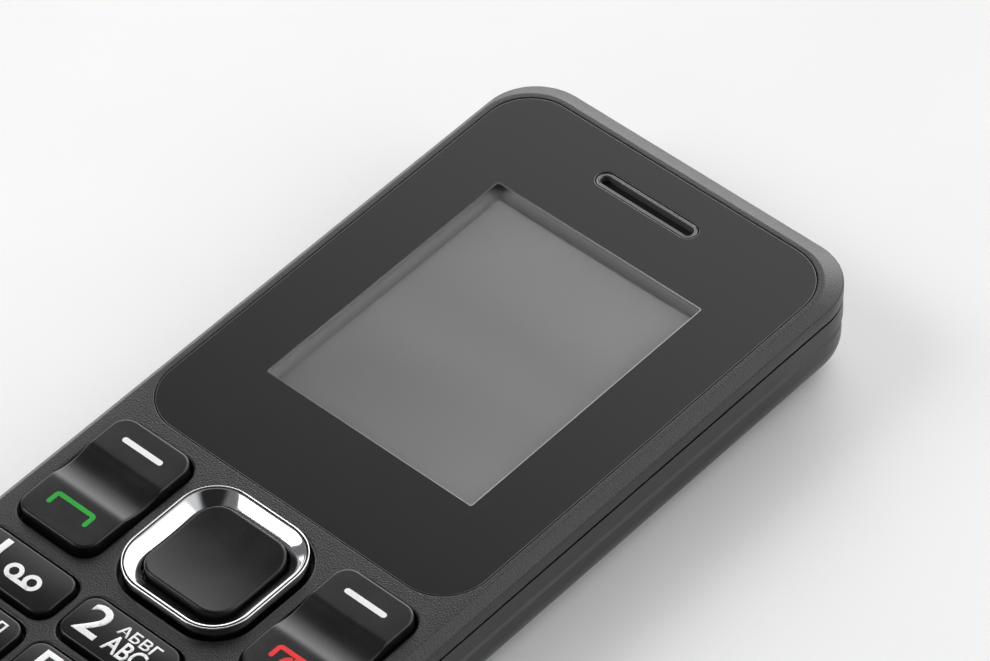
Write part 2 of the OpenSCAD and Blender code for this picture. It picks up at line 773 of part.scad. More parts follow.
module number_key(c, r) {
    color("#2c2c2e") translate([column_x(c), row_y(r), 0]) {
        cap(key_w, key_l, key_r, key_z0, face_z + key_rise, key_edge);
        plate(key_w + 2 * flange_w, key_l + 2 * flange_w, key_r + flange_w, key_z0, key_z1);
        translate([0, 0, plunger_z0]) cylinder(r = plunger_r, h = key_z1 - plunger_z0);
    }
}

module keypad_mat() {
    mat_w = board_w - 2 * mat_in;
    mat_top = nav_y + mat_half;
    mat_bottom = row_y(3) - key_l / 2 - flange_w;
    mat_l = mat_top - mat_bottom;
    mat_y = (mat_top + mat_bottom) / 2;
    mat_r = key_r + flange_w;
    ridge_l = rocker_w / 2;
    side_ridge = nav_flange_w - key_clear;
    color("#6a6a66") {
        difference() {
            translate([0, mat_y, 0]) difference() {
                plate(mat_w, mat_l, mat_r, board_z1, mat_z1);
                plate(mat_w - 2 * mat_skirt, mat_l - 2 * mat_skirt, mat_r - mat_skirt,
                    board_z1 - over, mat_z0);
            }
            at_number_keys() translate([0, 0, board_z1]) cylinder(r = plunger_r + plunger_clear, h = mat_z1);
            at_rocker_domes() translate([0, 0, board_z1]) cylinder(r = plunger_r + plunger_clear, h = mat_z1);
            at_ring_posts() translate([0, 0, board_z1]) cylinder(r = ring_post_r + plunger_clear, h = mat_z1);
            at_base_posts() translate([0, 0, board_z1]) cylinder(r = ring_post_r + plunger_clear, h = mat_z1);
            translate([0, nav_y, board_z1]) cylinder(r = plunger_r + plunger_clear, h = mat_z1);
            translate([0, usb_front + usb_l / 2, 0])
                box(usb_w + 2 * solder_clear, usb_l + 2 * solder_clear,
                    board_z1 - over, usb_z0 + usb_h + solder_clear);
        }
        for (x = [-1, 1]) translate([x * rocker_x, nav_y, 0]) box(ridge_l, ridge_w, mat_z1, swing_z0 - fit);
        for (x = [-1, 1]) translate([x * (base_w - side_ridge) / 2, nav_y, 0])
            box(side_ridge, ridge_w, mat_z1, swing_z0 - fit);
    }
}

module dome() {
    dome_ball = (dome_r * dome_r + dome_h * dome_h) / (2 * dome_h);
    intersection() {
        translate([0, 0, dome_z1 - dome_ball]) sphere(r = dome_ball, $fn = 4 * $fn);
        translate([0, 0, board_z1]) cylinder(r = dome_r, h = dome_h + over);
    }
}

module key_domes() {
    color("#c9cbcd") {
        at_number_keys() dome();
        at_rocker_domes() dome();
        at_ring_posts() dome();
        at_base_posts() dome();
        translate([0, nav_y, 0]) dome();
    }
}

module main_board() {
    color("#1f5a37") difference() {
        plate(board_w, board_l, corner_r - board_in, deck_z1, board_z1);
        at_screws() translate([0, 0, deck_z1 - over]) cylinder(r = screw_r + clear, h = board_t + 2 * over);
        translate([0, usb_front + usb_l / 2, 0])
            box(usb_w + 2 * clear, usb_l + 2 * clear, deck_z1 - over, board_z1 + over);
    }
}

module shield_cans() {
    color("#b4b7ba") for (y = [-1, 1]) translate([0, battery_y + y * (can_l + can_gap) / 2, 0]) difference() {
        box(can_w, can_l, deck_z1 - can_h, deck_z1);
        box(can_w - 2 * can_wall, can_l - 2 * can_wall, deck_z1 - can_h + can_wall, deck_z1 + over);
    }
}

// Openings of the deck through which the board's lower parts reach
module deck_openings() {
    for (y = [-1, 1]) translate([0, battery_y + y * (can_l + can_gap) / 2, 0])
        box(can_w + 2 * solder_clear, can_l + 2 * solder_clear, deck_z0 - over, deck_z1 + over);
    for (x = [-1, 1]) translate([x * (sim_w + sim_gap) / 2, sim_y, 0])
        box(sim_w + 2 * solder_clear, sim_l + 2 * solder_clear, deck_z0 - over, deck_z1 + over);
    translate([card_x, card_y, 0])
        box(card_w + 2 * solder_clear, card_l + 2 * solder_clear, deck_z0 - over, deck_z1 + over);
    translate([0, connector_y, 0])
        box(connector_w + 2 * solder_clear, connector_l + 2 * solder_clear, deck_z0 - over, deck_z1 + over);
    translate([camera_x, camera_y, 0])
        box(camera_w + 2 * solder_clear, camera_w + 2 * solder_clear, deck_z0 - over, deck_z1 + over);
    translate([0, antenna_y, 0])
        box(antenna_leg + 2 * solder_clear, antenna_leg + 2 * solder_clear, deck_z0 - over, deck_z1 + over);
    translate([jack_x, jack_front + jack_l / 2, 0])
        box(jack_w + 2 * solder_clear, jack_l + 2 * solder_clear, deck_z0 - over, deck_z1 + over);
    translate([0, usb_front + usb_l / 2, 0])
        box(usb_w + 2 * solder_clear, usb_l + 2 * solder_clear, deck_z0 - over, deck_z1 + over);
}

// Ribs round the battery, the loudspeaker and the motor
module deck_ribs() {
    cradle_l = motor_l - 2 * rib_t;
    cradle_w = 2 * (motor_r + rib_t);
    translate([0, battery_y, 0]) difference() {
        box(bay_w + 2 * rib_t, bay_l + 2 * rib_t, bay_z0, deck_z0);
        box(bay_w, bay_l, bay_z0 - over, deck_z0 + over);
        translate([0, bay_l / 2, 0])
            box(connector_w + 2 * solder_clear, 4 * rib_t, bay_z0 - over, deck_z0 + over);
    }
    difference() {
        translate([speaker_x, speaker_y, speaker_z0 + rib_t])
            cylinder(r = speaker_seat_r, h = deck_z0 - speaker_z0 - rib_t);
        translate([speaker_x, speaker_y, speaker_z0 - over]) cylinder(r = speaker_r + clear, h = deck_z0);
    }
    difference() {
        translate([motor_x + motor_l / 2, motor_y, 0]) box(cradle_l, cradle_w, motor_z, deck_z0);
        translate([motor_x - over, motor_y, motor_z]) rotate([0, 90, 0])
            cylinder(r = motor_r + fit, h = motor_l + 2 * over);
    }
}

module chassis() {
    outer_w = body_w - 2 * chassis_in;
    outer_l = body_l - 2 * chassis_in;
    outer_r = corner_r - chassis_in;
    inner_w = outer_w - 2 * chassis_wall;
    inner_l = outer_l - 2 * chassis_wall;
    inner_r = outer_r - chassis_wall;
    color("#2e2f31") difference() {
        union() {
            difference() {
                plate(outer_w, outer_l, outer_r, chassis_z0, seam_z);
                plate(inner_w, inner_l, inner_r, chassis_z0 - over, seam_z + over);
            }
            difference() {
                plate(inner_w + chassis_wall, inner_l + chassis_wall, inner_r + chassis_wall / 2,
                    deck_z0, deck_z1);
                deck_openings();
            }
            deck_ribs();
        }
        at_screws() translate([0, 0, deck_z0 - over]) cylinder(r = screw_r + clear, h = deck_t + 2 * over);
        translate([jack_x, port_end, jack_z]) rotate([-90, 0, 0]) cylinder(r = plug_r, h = inner_in + over);
        translate([0, usb_front + usb_l / 2, 0])
            box(usb_w + 2 * solder_clear, usb_l + 2 * solder_clear,
                usb_z0 - solder_clear, usb_z0 + usb_h + solder_clear);
    }
}

module housing_screws() {
    color("#9a9da1") at_screws() {
        translate([0, 0, deck_z0 - screw_head_h]) cylinder(r = screw_head_r, h = screw_head_h);
        translate([0, 0, deck_z0]) cylinder(r = screw_r, h = ledge_z0 - pilot_top - screw_tip - deck_z0);
    }
}

// Wall outline of a tray with a rounded lower edge, from the corner's centre outwards
module tray_outline(wall, z0, z1, r) {
    translate([0, z0]) square([wall - r, z1 - z0]);
    translate([0, z0 + r]) square([wall, z1 - z0 - r]);
    translate([wall - r, z0 + r]) intersection() {
        circle(r);
        translate([0, -r]) square(r);
    }
}

module cover_shell() {
    wall = corner_r - cover_in;
    band = wall + band_out;
    swept(body_w - 2 * cover_in, body_l - 2 * cover_in, wall, 0, cover_z1) difference() {
        union() {
            tray_outline(wall, 0, cover_z1, back_r);
            translate([0, step_z]) square([band, cover_z1 - step_z]);
        }
        polygon([[band + over, step_z - step_h], [wall, step_z - step_h], [wall - step_in, step_z],
            [band, step_z + step_h], [band + over, step_z + step_h]]);
        translate([band - seam_lip - seam_groove_w, cover_z1 - seam_groove_d])
            square([seam_groove_w, seam_groove_d + over]);
    }
}

module cover_cavity() {
    wall = corner_r - cover_in - cover_wall;
    cavity_in = cover_in + cover_wall;
    swept(body_w - 2 * cavity_in, body_l - 2 * cavity_in, wall, cover_t, cover_z1 + over)
        tray_outline(wall, cover_t, cover_z1 + over, back_r - cover_wall);
}

module battery_cover() {
    color("#363637") difference() {
        cover_shell();
        cover_cavity();
        translate([speaker_x, speaker_y, 0]) for (i = [0 : grille_slots - 1])
            translate([0, (i - (grille_slots - 1) / 2) * grille_pitch, 0])
                plate(grille_l, grille_w, grille_w / 2 - fit, -over, cover_t + over);
        translate([camera_x, camera_y, -over]) {
            cylinder(r = camera_hole_r, h = cover_t + 2 * over);
            cylinder(r = camera_window_r + fit, h = over + camera_recess + camera_window_t);
        }
        translate([jack_x, port_end - over, jack_z]) rotate([-90, 0, 0])
            cylinder(r = plug_r, h = inner_in + over);
        translate([0, port_end, 0]) box(usb_open_w, 2 * inner_in, usb_z0 - usb_open_z, cover_z1 + over);
    }
}

module battery() {
    battery_r = 1.5;
    label_in = 2;
    label_d = 0.1;
    color("#cfd2d5") translate([0, battery_y, 0]) difference() {
        plate(battery_w, battery_l, battery_r, battery_z0, battery_z0 + battery_t);
        plate(battery_w - 2 * label_in, battery_l - 2 * label_in, battery_r,
            battery_z0 - over, battery_z0 + label_d);
    }
}

module battery_connector() {
    color("#1c1c1c") translate([0, connector_y, 0]) difference() {
        box(connector_w, connector_l, connector_z0, deck_z1);
        for (i = [-1 : 1]) translate([i * spring_pitch, -connector_l / 2, 0])
            box(spring_w + 2 * fit, connector_l, connector_z0 + rib_t, deck_z0 - rib_t);
    }
}

module battery_springs() {
    reach = connector_y - battery_top - fit;
    color("#d8b457") for (i = [-1 : 1]) translate([i * spring_pitch, battery_top + fit, 0]) {
        translate([-spring_w / 2, 0, connector_z0 + rib_t + fit]) cube([spring_w, reach, spring_t]);
        translate([-spring_w / 2, 0, connector_z0 + rib_t + fit])
            cube([spring_w, spring_t, deck_z0 - connector_z0 - 2 * rib_t - 2 * fit]);
    }
}

// Sheet-metal card holder under the board, with its slot open towards the lower end
module card_holder(w, l, h, slot_width, slot_h) {
    difference() {
        box(w, l, deck_z1 - h, deck_z1);
        translate([0, -(l - slot_width) / 2 + fit, 0])
            box(slot_width, l + slot_width, deck_z1 - (h + slot_h) / 2, deck_z1 - (h - slot_h) / 2);
        box(w / 2, l / 2, deck_z1 - h - over, deck_z1 - h / 2);
    }
}

module sim_sockets() {
    color("#b4b7ba") for (x = [-1, 1]) translate([x * (sim_w + sim_gap) / 2, sim_y, 0])
        card_holder(sim_w, sim_l, sim_h, sim_slot_w, sim_slot_h);
}

module memory_card_socket() {
    color("#b4b7ba") translate([card_x, card_y, 0])
        card_holder(card_w, card_l, card_h, card_slot_w, card_slot_h);
}

module usb_socket() {
    tongue_w = usb_w / 2;
    tongue_h = 0.6;
    tongue_z1 = usb_z0 + usb_h - usb_wall - tongue_h;
    color("#c2c4c6") translate([0, usb_front, 0]) {
        difference() {
            translate([0, usb_l / 2, 0]) box(usb_w, usb_l, usb_z0, usb_z0 + usb_h);
            translate([0, usb_l / 2 - rib_t, 0])
                box(usb_w - 2 * usb_wall, usb_l, usb_z0 + usb_wall, usb_z0 + usb_h - usb_wall);
        }
        translate([0, usb_l / 2 + rib_t / 2, 0])
            box(tongue_w, usb_l - rib_t, tongue_z1 - tongue_h, tongue_z1);
    }
}

module headset_jack() {
    color("#1a1a1a") difference() {
        translate([jack_x, jack_front + jack_l / 2, 0]) box(jack_w, jack_l, deck_z1 - jack_h, deck_z1);
        translate([jack_x, jack_front - over, jack_z]) rotate([-90, 0, 0])
            cylinder(r = jack_bore_r, h = jack_bore_l + over);
    }
}

module microphone() {
    color("#b9bcc0") translate([mic_x, mic_y, 0]) difference() {
        box(mic_w, mic_l, board_z1, board_z1 + mic_h);
        translate([0, 0, board_z1 + mic_h / 2]) cylinder(r = mic_hole_r, h = mic_h);
    }
}

module loudspeaker() {
    cone_r = speaker_r - gasket_w;
    cone_h = 0.8;
    color("#3b3b3d") translate([speaker_x, speaker_y, 0]) difference() {
        translate([0, 0, speaker_z0]) cylinder(r = speaker_r, h = speaker_h);
        translate([0, 0, speaker_z0 - over]) cylinder(r = cone_r, h = cone_h + over);
    }
}

module loudspeaker_gasket() {
    gasket_z0 = cover_t + clear + key_clear;
    color("#202020") translate([speaker_x, speaker_y, gasket_z0]) difference() {
        cylinder(r = speaker_r, h = speaker_z0 - gasket_z0);
        translate([0, 0, -over]) cylinder(r = speaker_r - gasket_w, h = speaker_z0);
    }
}

module vibration_motor() {
    socket_l = 2;
    color("#aeb1b4") translate([motor_x, motor_y, motor_z]) rotate([0, 90, 0]) difference() {
        cylinder(r = motor_r, h = motor_l);
        translate([0, 0, motor_l - socket_l]) cylinder(r = motor_shaft_r + fit, h = socket_l + over);
    }
}

module vibration_weight() {
    shaft_in = 1.8;
    color("#8a8d90") translate([motor_x + motor_l, motor_y, motor_z]) rotate([0, 90, 0]) {
        translate([0, 0, -shaft_in]) cylinder(r = motor_shaft_r, h = shaft_in + motor_gap + weight_l);
        translate([0, 0, motor_gap]) difference() {
            cylinder(r = weight_r, h = weight_l);
            translate([-2 * weight_r, -weight_r, -over])
                cube([2 * weight_r, 2 * weight_r, weight_l + 2 * over]);
        }
    }
}

module camera_module() {
    barrel_z0 = cover_t + clear + plunger_clear;
    color("#161616") translate([camera_x, camera_y, 0]) {
        box(camera_w, camera_w, camera_z0, deck_z1);
        translate([0, 0, barrel_z0]) difference() {
            cylinder(r = camera_barrel_r, h = camera_z0 - barrel_z0);
            translate([0, 0, -over]) cylinder(r = camera_barrel_r / 2, h = 2 * over);
        }
    }
}

module camera_window() {
    color("#0d0f14") translate([camera_x, camera_y, camera_recess])
        cylinder(r = camera_window_r, h = camera_window_t);
}

module antenna() {
    color("#c98d4a") translate([0, antenna_y, 0]) {
        box(antenna_w, antenna_l, deck_z0 - antenna_t, deck_z0);
        box(antenna_leg, antenna_leg, deck_z0, deck_z1);
    }
}

front_housing();
display_lens();
lens_mask();
earpiece_trim();
earpiece_mesh();
earpiece_gasket();
earpiece_receiver();
lcd_gasket();
lcd_bezel();
lcd_panel();
lcd_backlight();
lcd_flex();
left_rocker_key();
right_rocker_key();
nav_ring();
nav_base();
nav_center_key();
number_key(0, 0);  // key_1
number_key(1, 0);  // key_2
number_key(2, 0);  // key_3
number_key(0, 1);  // key_4
number_key(1, 1);  // key_5
number_key(2, 1);  // key_6
number_key(0, 2);  // key_7
number_key(1, 2);  // key_8
number_key(2, 2);  // key_9
number_key(0, 3);  // key_star
number_key(1, 3);  // key_0
number_key(2, 3);  // key_hash
keypad_mat();
key_domes();
main_board();
shield_cans();
chassis();
housing_screws();
battery_cover();
battery();
battery_connector();
battery_springs();
sim_sockets();
memory_card_socket();
usb_socket();
headset_jack();
microphone();
loudspeaker();
loudspeaker_gasket();
vibration_motor();
vibration_weight();
camera_module();
camera_window();
antenna();
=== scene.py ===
"""Looks of the feature phone: smooth shells and key caps, printed legends, materials, light and camera.

Lengths are written in millimetres and turned into metres where a mesh is made. The print and the display's
front lie closer to the lens's face than their solids do.
"""
import json
import math

import bmesh
import bpy
from mathutils import Matrix, Vector


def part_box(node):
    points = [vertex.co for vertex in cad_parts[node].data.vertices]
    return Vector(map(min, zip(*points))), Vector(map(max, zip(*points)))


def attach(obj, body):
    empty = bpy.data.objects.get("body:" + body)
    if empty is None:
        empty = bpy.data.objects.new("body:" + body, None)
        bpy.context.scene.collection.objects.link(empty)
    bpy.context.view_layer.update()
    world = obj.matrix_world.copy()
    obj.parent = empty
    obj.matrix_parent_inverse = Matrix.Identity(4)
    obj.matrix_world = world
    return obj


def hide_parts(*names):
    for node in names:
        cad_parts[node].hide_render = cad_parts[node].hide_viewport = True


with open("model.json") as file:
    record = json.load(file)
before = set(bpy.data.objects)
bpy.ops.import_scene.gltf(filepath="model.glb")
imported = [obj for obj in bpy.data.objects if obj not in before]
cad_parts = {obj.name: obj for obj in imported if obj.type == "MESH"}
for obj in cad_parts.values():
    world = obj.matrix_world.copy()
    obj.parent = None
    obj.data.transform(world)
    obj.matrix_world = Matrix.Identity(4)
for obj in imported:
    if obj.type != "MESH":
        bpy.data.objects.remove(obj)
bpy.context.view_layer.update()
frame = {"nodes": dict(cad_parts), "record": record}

MM = 0.001

# Meshes: roundness of edges, smooth shading up to an angle, welding in metres, reach of a rod into its cap
EDGE_WEIGHT = 0.7
SHARP_ANGLE = 38
WELD = 1e-7
ROD_STEPS = 24
ROD_REACH = 0.02

# Fineness of the outlines: pieces of a corner, and length of a piece along a side
LENS_MESH = (14, 2.0)
SLOT_MESH = (10, 1.5)
WINDOW_MESH = (4, 3.0)
PANE_MESH = (3, 2.0)
SOUND_MESH = (6, 2.0)
ZONE_MESH = (8, 3.0)
MIC_MESH = (5, 9.0)
KEY_HOLE_MESH = (8, 1.2)
RING_HOLE_MESH = (12, 1.2)
KEY_MESH = (8, 0.9)
ROCKER_MESH = (8, 0.3)
CENTER_MESH = (10, 0.6)
RING_MESH = (20, 0.8)

# Front housing
FACE_Z = 12.0
SEAM_Z = 9.0
CORNER_R = 6.6
CORNER_STEPS = 16
HOUSING_COUNTS = (18, 54)
SIDE_BEVEL = (1.05, 1.05)
END_SLOPE = (2.15, 1.15)
BEVEL_SOFT = (0.14, 0.06)
BEVEL_STEPS = 5
RIM_R = 6.2
SEAM_EDGE = 0.3
SEAM_STEPS = 4
FRONT_WALL = 2.0
LEDGE_Z = (9.9, 10.9)
PLATE_Z = 10.8
KEY_ZONE = (21.7, -57.8, -5.15)
KEY_ZONE_R = 4.0
LIP = 0.3
LIP_FLAT = 0.07
LIP_STEPS = 6
POCKET = (44.6, 61.2, 5.8)
POCKET_LIP = 0.09
WINDOW = (33.0, 40.2, 0.6)
WINDOW_Y = 26.175
SOUND_HOLE = (10.9, 1.4, 0.69)
MIC_PLACE = (10.5, -56.4)
MIC_R = 0.45
MIC_SPARE = 0.001
MIC_LIP = 0.12

# Lens, display and earpiece
LENS_GAP = 0.1
LENS_Z = (11.02, 12.0)
LENS_EDGE = 0.1
LENS_FLAT = 0.06
LENS_STEPS = 4
LENS_NEAR = (0.01, 0.001)
# Material slots of the lens; its sides get black paint, painted shade in the gap round the lens
LENS_PANE, LENS_RIM, LENS_SIDE, LENS_BACKED = range(4)
MASK_WINDOW = (28.8, 36.0, 0.25)
# Place and thickness of the painted highlight line round the window
WINDOW_LINE = (0.0, -0.09, 11.985)
WINDOW_LINE_T = 0.03
PRINT_Z = (11.8, 11.86)
PRINT_IN = 0.4
DISPLAY_FRONT = (30.9, 38.1, 0.3)
DISPLAY_Z = (9.5, 10.95)
DISPLAY_EDGE = 0.06
DISPLAY_STEPS = 3
SLOT = (13.9, 2.4)
SLOT_SPARE = 0.02
TRIM_WALL = 0.45
TRIM_RIDGE = [(0, -0.1), (-0.02, -0.035), (-0.06, 0), (-0.1, -0.02), (-0.14, -0.07)]

# Keys
NUMBER_KEYS = [f"key_{sign}" for sign in (*"123456789", "star", "0", "hash")]
ROCKERS = ("left_rocker_key", "right_rocker_key")
KEY_CLEAR = 0.36
KEY_FLANGE = 0.45
KEY_FLANGE_Z = (10.1, 10.7)
FLANGE_BEVEL = 0.05
CAP_FLAT = 0.05
EDGE_STEPS = 7
PLUNGER_R = 1.2
KEY_R = 1.6
KEY_EDGE = (0.26, 0.26)
KEY_CROWN = 0.27
CROWN_SHARES = (0.45, 0.55)
KEY_RINGS = 9
SWING_Z = (9.779, 10.379)
ROCKER_R = 1.9
ROCKER_EDGE = (0.3, 0.28)
ROCKER_FALL = 0.06
ROCKER_RINGS = 22
ROCKER_DOME_Y = 5.433
DIP_UP = 0.2
DIP_HALF = 2.65
DIP_DEPTH = 0.53
DIP_SOFT = 0.07
CENTER_R = 2.75
CENTER_FLANGE = 0.5
CENTER_EDGE = (0.36, 0.32)
CENTER_FALL = 0.1
CENTER_RINGS = 14
DISH_DEPTH = 0.36

# Ring round the centre key; its edges are steps from a corner of the profile
NAV_CLEAR = 0.4
RING_R = 4.8
RING_Z0 = 10.763
RING_BAND = 2.05
RING_RIM = 0.5
RING_BEVEL = 1.2
RING_BEAD = 0.18
BEAD_STEPS = 5
RING_GROOVE = 0.12
RING_GROOVE_W = 0.15
RING_FOOT = 0.05
RING_FLAT_EDGE = [(0, -0.04), (-0.03, -0.005)]
RING_RIM_EDGE = [(0.06, -0.005), (0.01, -0.02), (-0.05, -0.06)]
RING_INNER_EDGE = [(0.1, 0.08), (0.03, 0), (0, -0.08)]
RING_POST_X = 7.125
RING_POST_R = 0.5
# Slot of the black paint in the ring's groove: painted shade in the recess
GROOVE_SHADE = 1

# Legends, measured from the middle of their key
LEGEND_LIFT = 0.02
LEGEND_DEPTH = 0.06
LEGEND_STROKE = 0.52
PRINT_MERGE = 1e-4
PRINT_GRID = 0.45
PRINT_CUT = 1e-5
STROKE_END_STEPS = 8
GLYPH_STEPS = 4
CAPITAL = 0.73
DIGIT = {"height": 4.29, "bold": 0.07, "wide": 1.14}
DIGIT_AT = (-3.58, -1.73)
DIGIT_SHIFT = {"1": 0.6}
SMALL = {"height": 1.34, "at": (-1.02, 0.6), "bold": 0.03, "wide": 1.16}
LARGE = {"height": 2.29, "at": (-1.02, -1.81), "bold": 0.045, "wide": 0.82}
SIGN_STEPS = 24
VOICEMAIL_AT = (1.42, -0.4)
VOICEMAIL_REACH = 4.1
VOICEMAIL_LOOP = 0.195
BAR_Y = 5.5
BAR_HALF = 2.45
BAR_STROKE = 0.7
HANDSET_AT = (-0.05, -4.1)
HANDSET_SIZE = (5.1, 1.4)
HANDSET_STROKE = 0.56
HANDSET_CORNER = 0.3
HANDSET_STEPS = 6
POWER_AT = (-0.05, -5.75)
POWER_R = 1.15
POWER_ARC = (122, 418)
POWER_FOOT = 0.15
POWER_MIDDLE = 0.6
DIGITS = "123456789*0#"
LETTERS = {
    "2": ("АБВГ", "ABC"),
    "3": ("ДЕЖЗ", "DEF"),
    "4": ("ИЙКЛ", "GHI"),
    "5": ("МНОП", "JKL"),
    "6": ("РСТУ", "MNO"),
    "7": ("ФХЦЧ", "PQRS"),
    "8": ("ШЩЪЫ", "TUV"),
    "9": ("ЬЭЮЯ", "WXYZ"),
}

# Materials: scales of noise per millimetre, the used range of a noise, factors on a colour or a roughness
NOISE_SPAN = (0.3, 0.7)
WHOLE_SPAN = (0.0, 1.0)
GLOSS_DRIFT = 0.03
GRAIN_SPAN = (0.34, 0.66)
GRAIN_ROUGHNESS = 0.6
MOULD_DRIFT = 0.16
SATIN_DRIFT = 0.3
SATIN_TINT = (0.93, 1.07)
SATIN_RIPPLE = 11.0
SATIN_DEPTH = 0.0018
METAL_MARKS = 6.0
METAL_DETAIL = 4.0
METAL_TINT = (0.95, 1.03)
METAL_WEAR = (0.75, 1.25)
METAL_DEPTH = 0.001
INK_FILM = 0.5
INK_TINT = (0.98, 1.02)
INK_ROUGHNESS = (0.38, 0.5)
CUT_ROUGHNESS = 0.45
CUT_SPECULAR = 0.2
ACRYLIC_IOR = 1.53
LENS_GLOSS = 0.325
LENS_VEIL = 0.25
LENS_TONES = ("#141415", "#151516")
LENS_ROUGHNESS = (0.1, 0.12)
PANE_ALPHA = 0.04
ACTIVE_CENTRE = (0.3, 25.875)
ACTIVE_HALF = (13.6, 17.25)
ACTIVE_FADE = 0.3
# Painted shading of the display: its grey runs lighter towards the bottom right, to offset how the light
# falls on it
DISPLAY_SLANT = -1.8
DISPLAY_SHADE_FALL = (-15.8, 67.6)
DISPLAY_SHADE_TONES = ("#929292", "#5f5f5f")
DISPLAY_ROUGHNESS = 0.11
DISPLAY_ROWS = 1.4
DISPLAY_DEPTH = 0.001
# Band round the display: darker than it at the edge, then painted lighter under the print, against the
# print's shadow
BORDER_REACH = 1.7
BORDER_STOPS = (0.0, 0.3, 0.65, 1.0)
BORDER_LIGHT_TONES = ("#6e6e6e", "#9e9e9e", "#c8c8c8", "#f4f4f4")
FLOOR_GRAIN = 0.03
FLOOR_TONES = ("#f0f0f0", "#f3f3f3")
FLOOR_ROUGHNESS = 0.9
FLOOR_SPECULAR = 0.1

# Stage in metres; the light tent's banks are a direction, a soft edge between two cosines and a power
FLOOR_REACH = 3.0
WORLD_BASE = 0.25
WORLD_BANKS = [
    ((0, 0.829, -0.559), (-0.114, 0.095), 2.4),
    ((-0.45, 0.89, 0.05), (0.75, 0.95), 3.2),
    ((0.45, 0.5, 0.74), (0.8, 0.93), 0.75),
    ((0.36, -0.34, 0.87), (0.84, 0.95), -0.22),
]
BOX_AZIMUTH = 306
BOX_ELEVATION = 38
BOX_DISTANCE = 1.0
BOX_TARGET = (0, 0, 0.01)
BOX_SIZE = (0.55, 0.55)
BOX_POWER = 4.2

# Camera, solved from the outlines of the lens and of the keys; the clip distances are in metres
CAMERA_AZIMUTH = 44.126
CAMERA_ELEVATION = 47.193
CAMERA_ROLL = -2.759
CAMERA_LENS = 219.45
CAMERA_SENSOR = 36
CAMERA_CLIP = (0.01, 20)
CAMERA_DISTANCE = 630.9
CAMERA_TARGET = (-0.11, 27.865, 12.0)


def node_centre(name):
    """Middle of a CAD node's box, in millimetres."""
    low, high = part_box(name)
    return (low + high) / 2 / MM


def node_size(name):
    """Lengths of a CAD node's box, in millimetres."""
    low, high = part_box(name)
    return (high - low) / MM


def blend_value(low, high, t):
    """Value between low and high at the share t."""
    return low + (high - low) * t


def outline(width, length, radius, corner_steps, side_step=None, counts=None):
    """Anticlockwise points of a rounded rectangle round the origin, each with its outward normal.

    counts gives the pieces of the short and long sides, so that two outlines match point by point."""
    half_x, half_y = width / 2 - radius, length / 2 - radius
    corners = [(half_x, half_y, 0), (-half_x, half_y, 90), (-half_x, -half_y, 180), (half_x, -half_y, 270)]
    points = []
    for index, (x, y, start) in enumerate(corners):
        for step in range(corner_steps + 1):
            angle = math.radians(start + 90 * step / corner_steps)
            normal = (math.cos(angle), math.sin(angle))
            points.append((x + radius * normal[0], y + radius * normal[1], *normal))
        after = corners[(index + 1) % 4]
        turn = math.radians(after[2])
        normal = (math.cos(turn), math.sin(turn))
        first = (x + radius * normal[0], y + radius * normal[1])
        last = (after[0] + radius * normal[0], after[1] + radius * normal[1])
        pieces = counts[index % 2] if counts else max(1, round(math.dist(first, last) / side_step))
        for step in range(1, pieces):
            t = step / pieces
            points.append((blend_value(first[0], last[0], t), blend_value(first[1], last[1], t), *normal))
    return points


def grown(points, offset, z, centre=(0, 0)):
    """Ring of 3-D points: the outline moved outwards by offset, at height z."""
    cx, cy = centre
    return [(cx + x + nx * offset, cy + y + ny * offset, z) for x, y, nx, ny in points]


def conic(width, height, steps):
    """Steps of a rounded edge from the wall (0, -height) to the top (-width, 0)."""
    path = []
    for step in range(steps + 1):
        t = step / steps
        a, b, c = (1 - t) ** 2, 2 * t * (1 - t) * EDGE_WEIGHT, t * t
        total = a + b + c
        path.append((-width * c / total, -height * a / total))
    return path


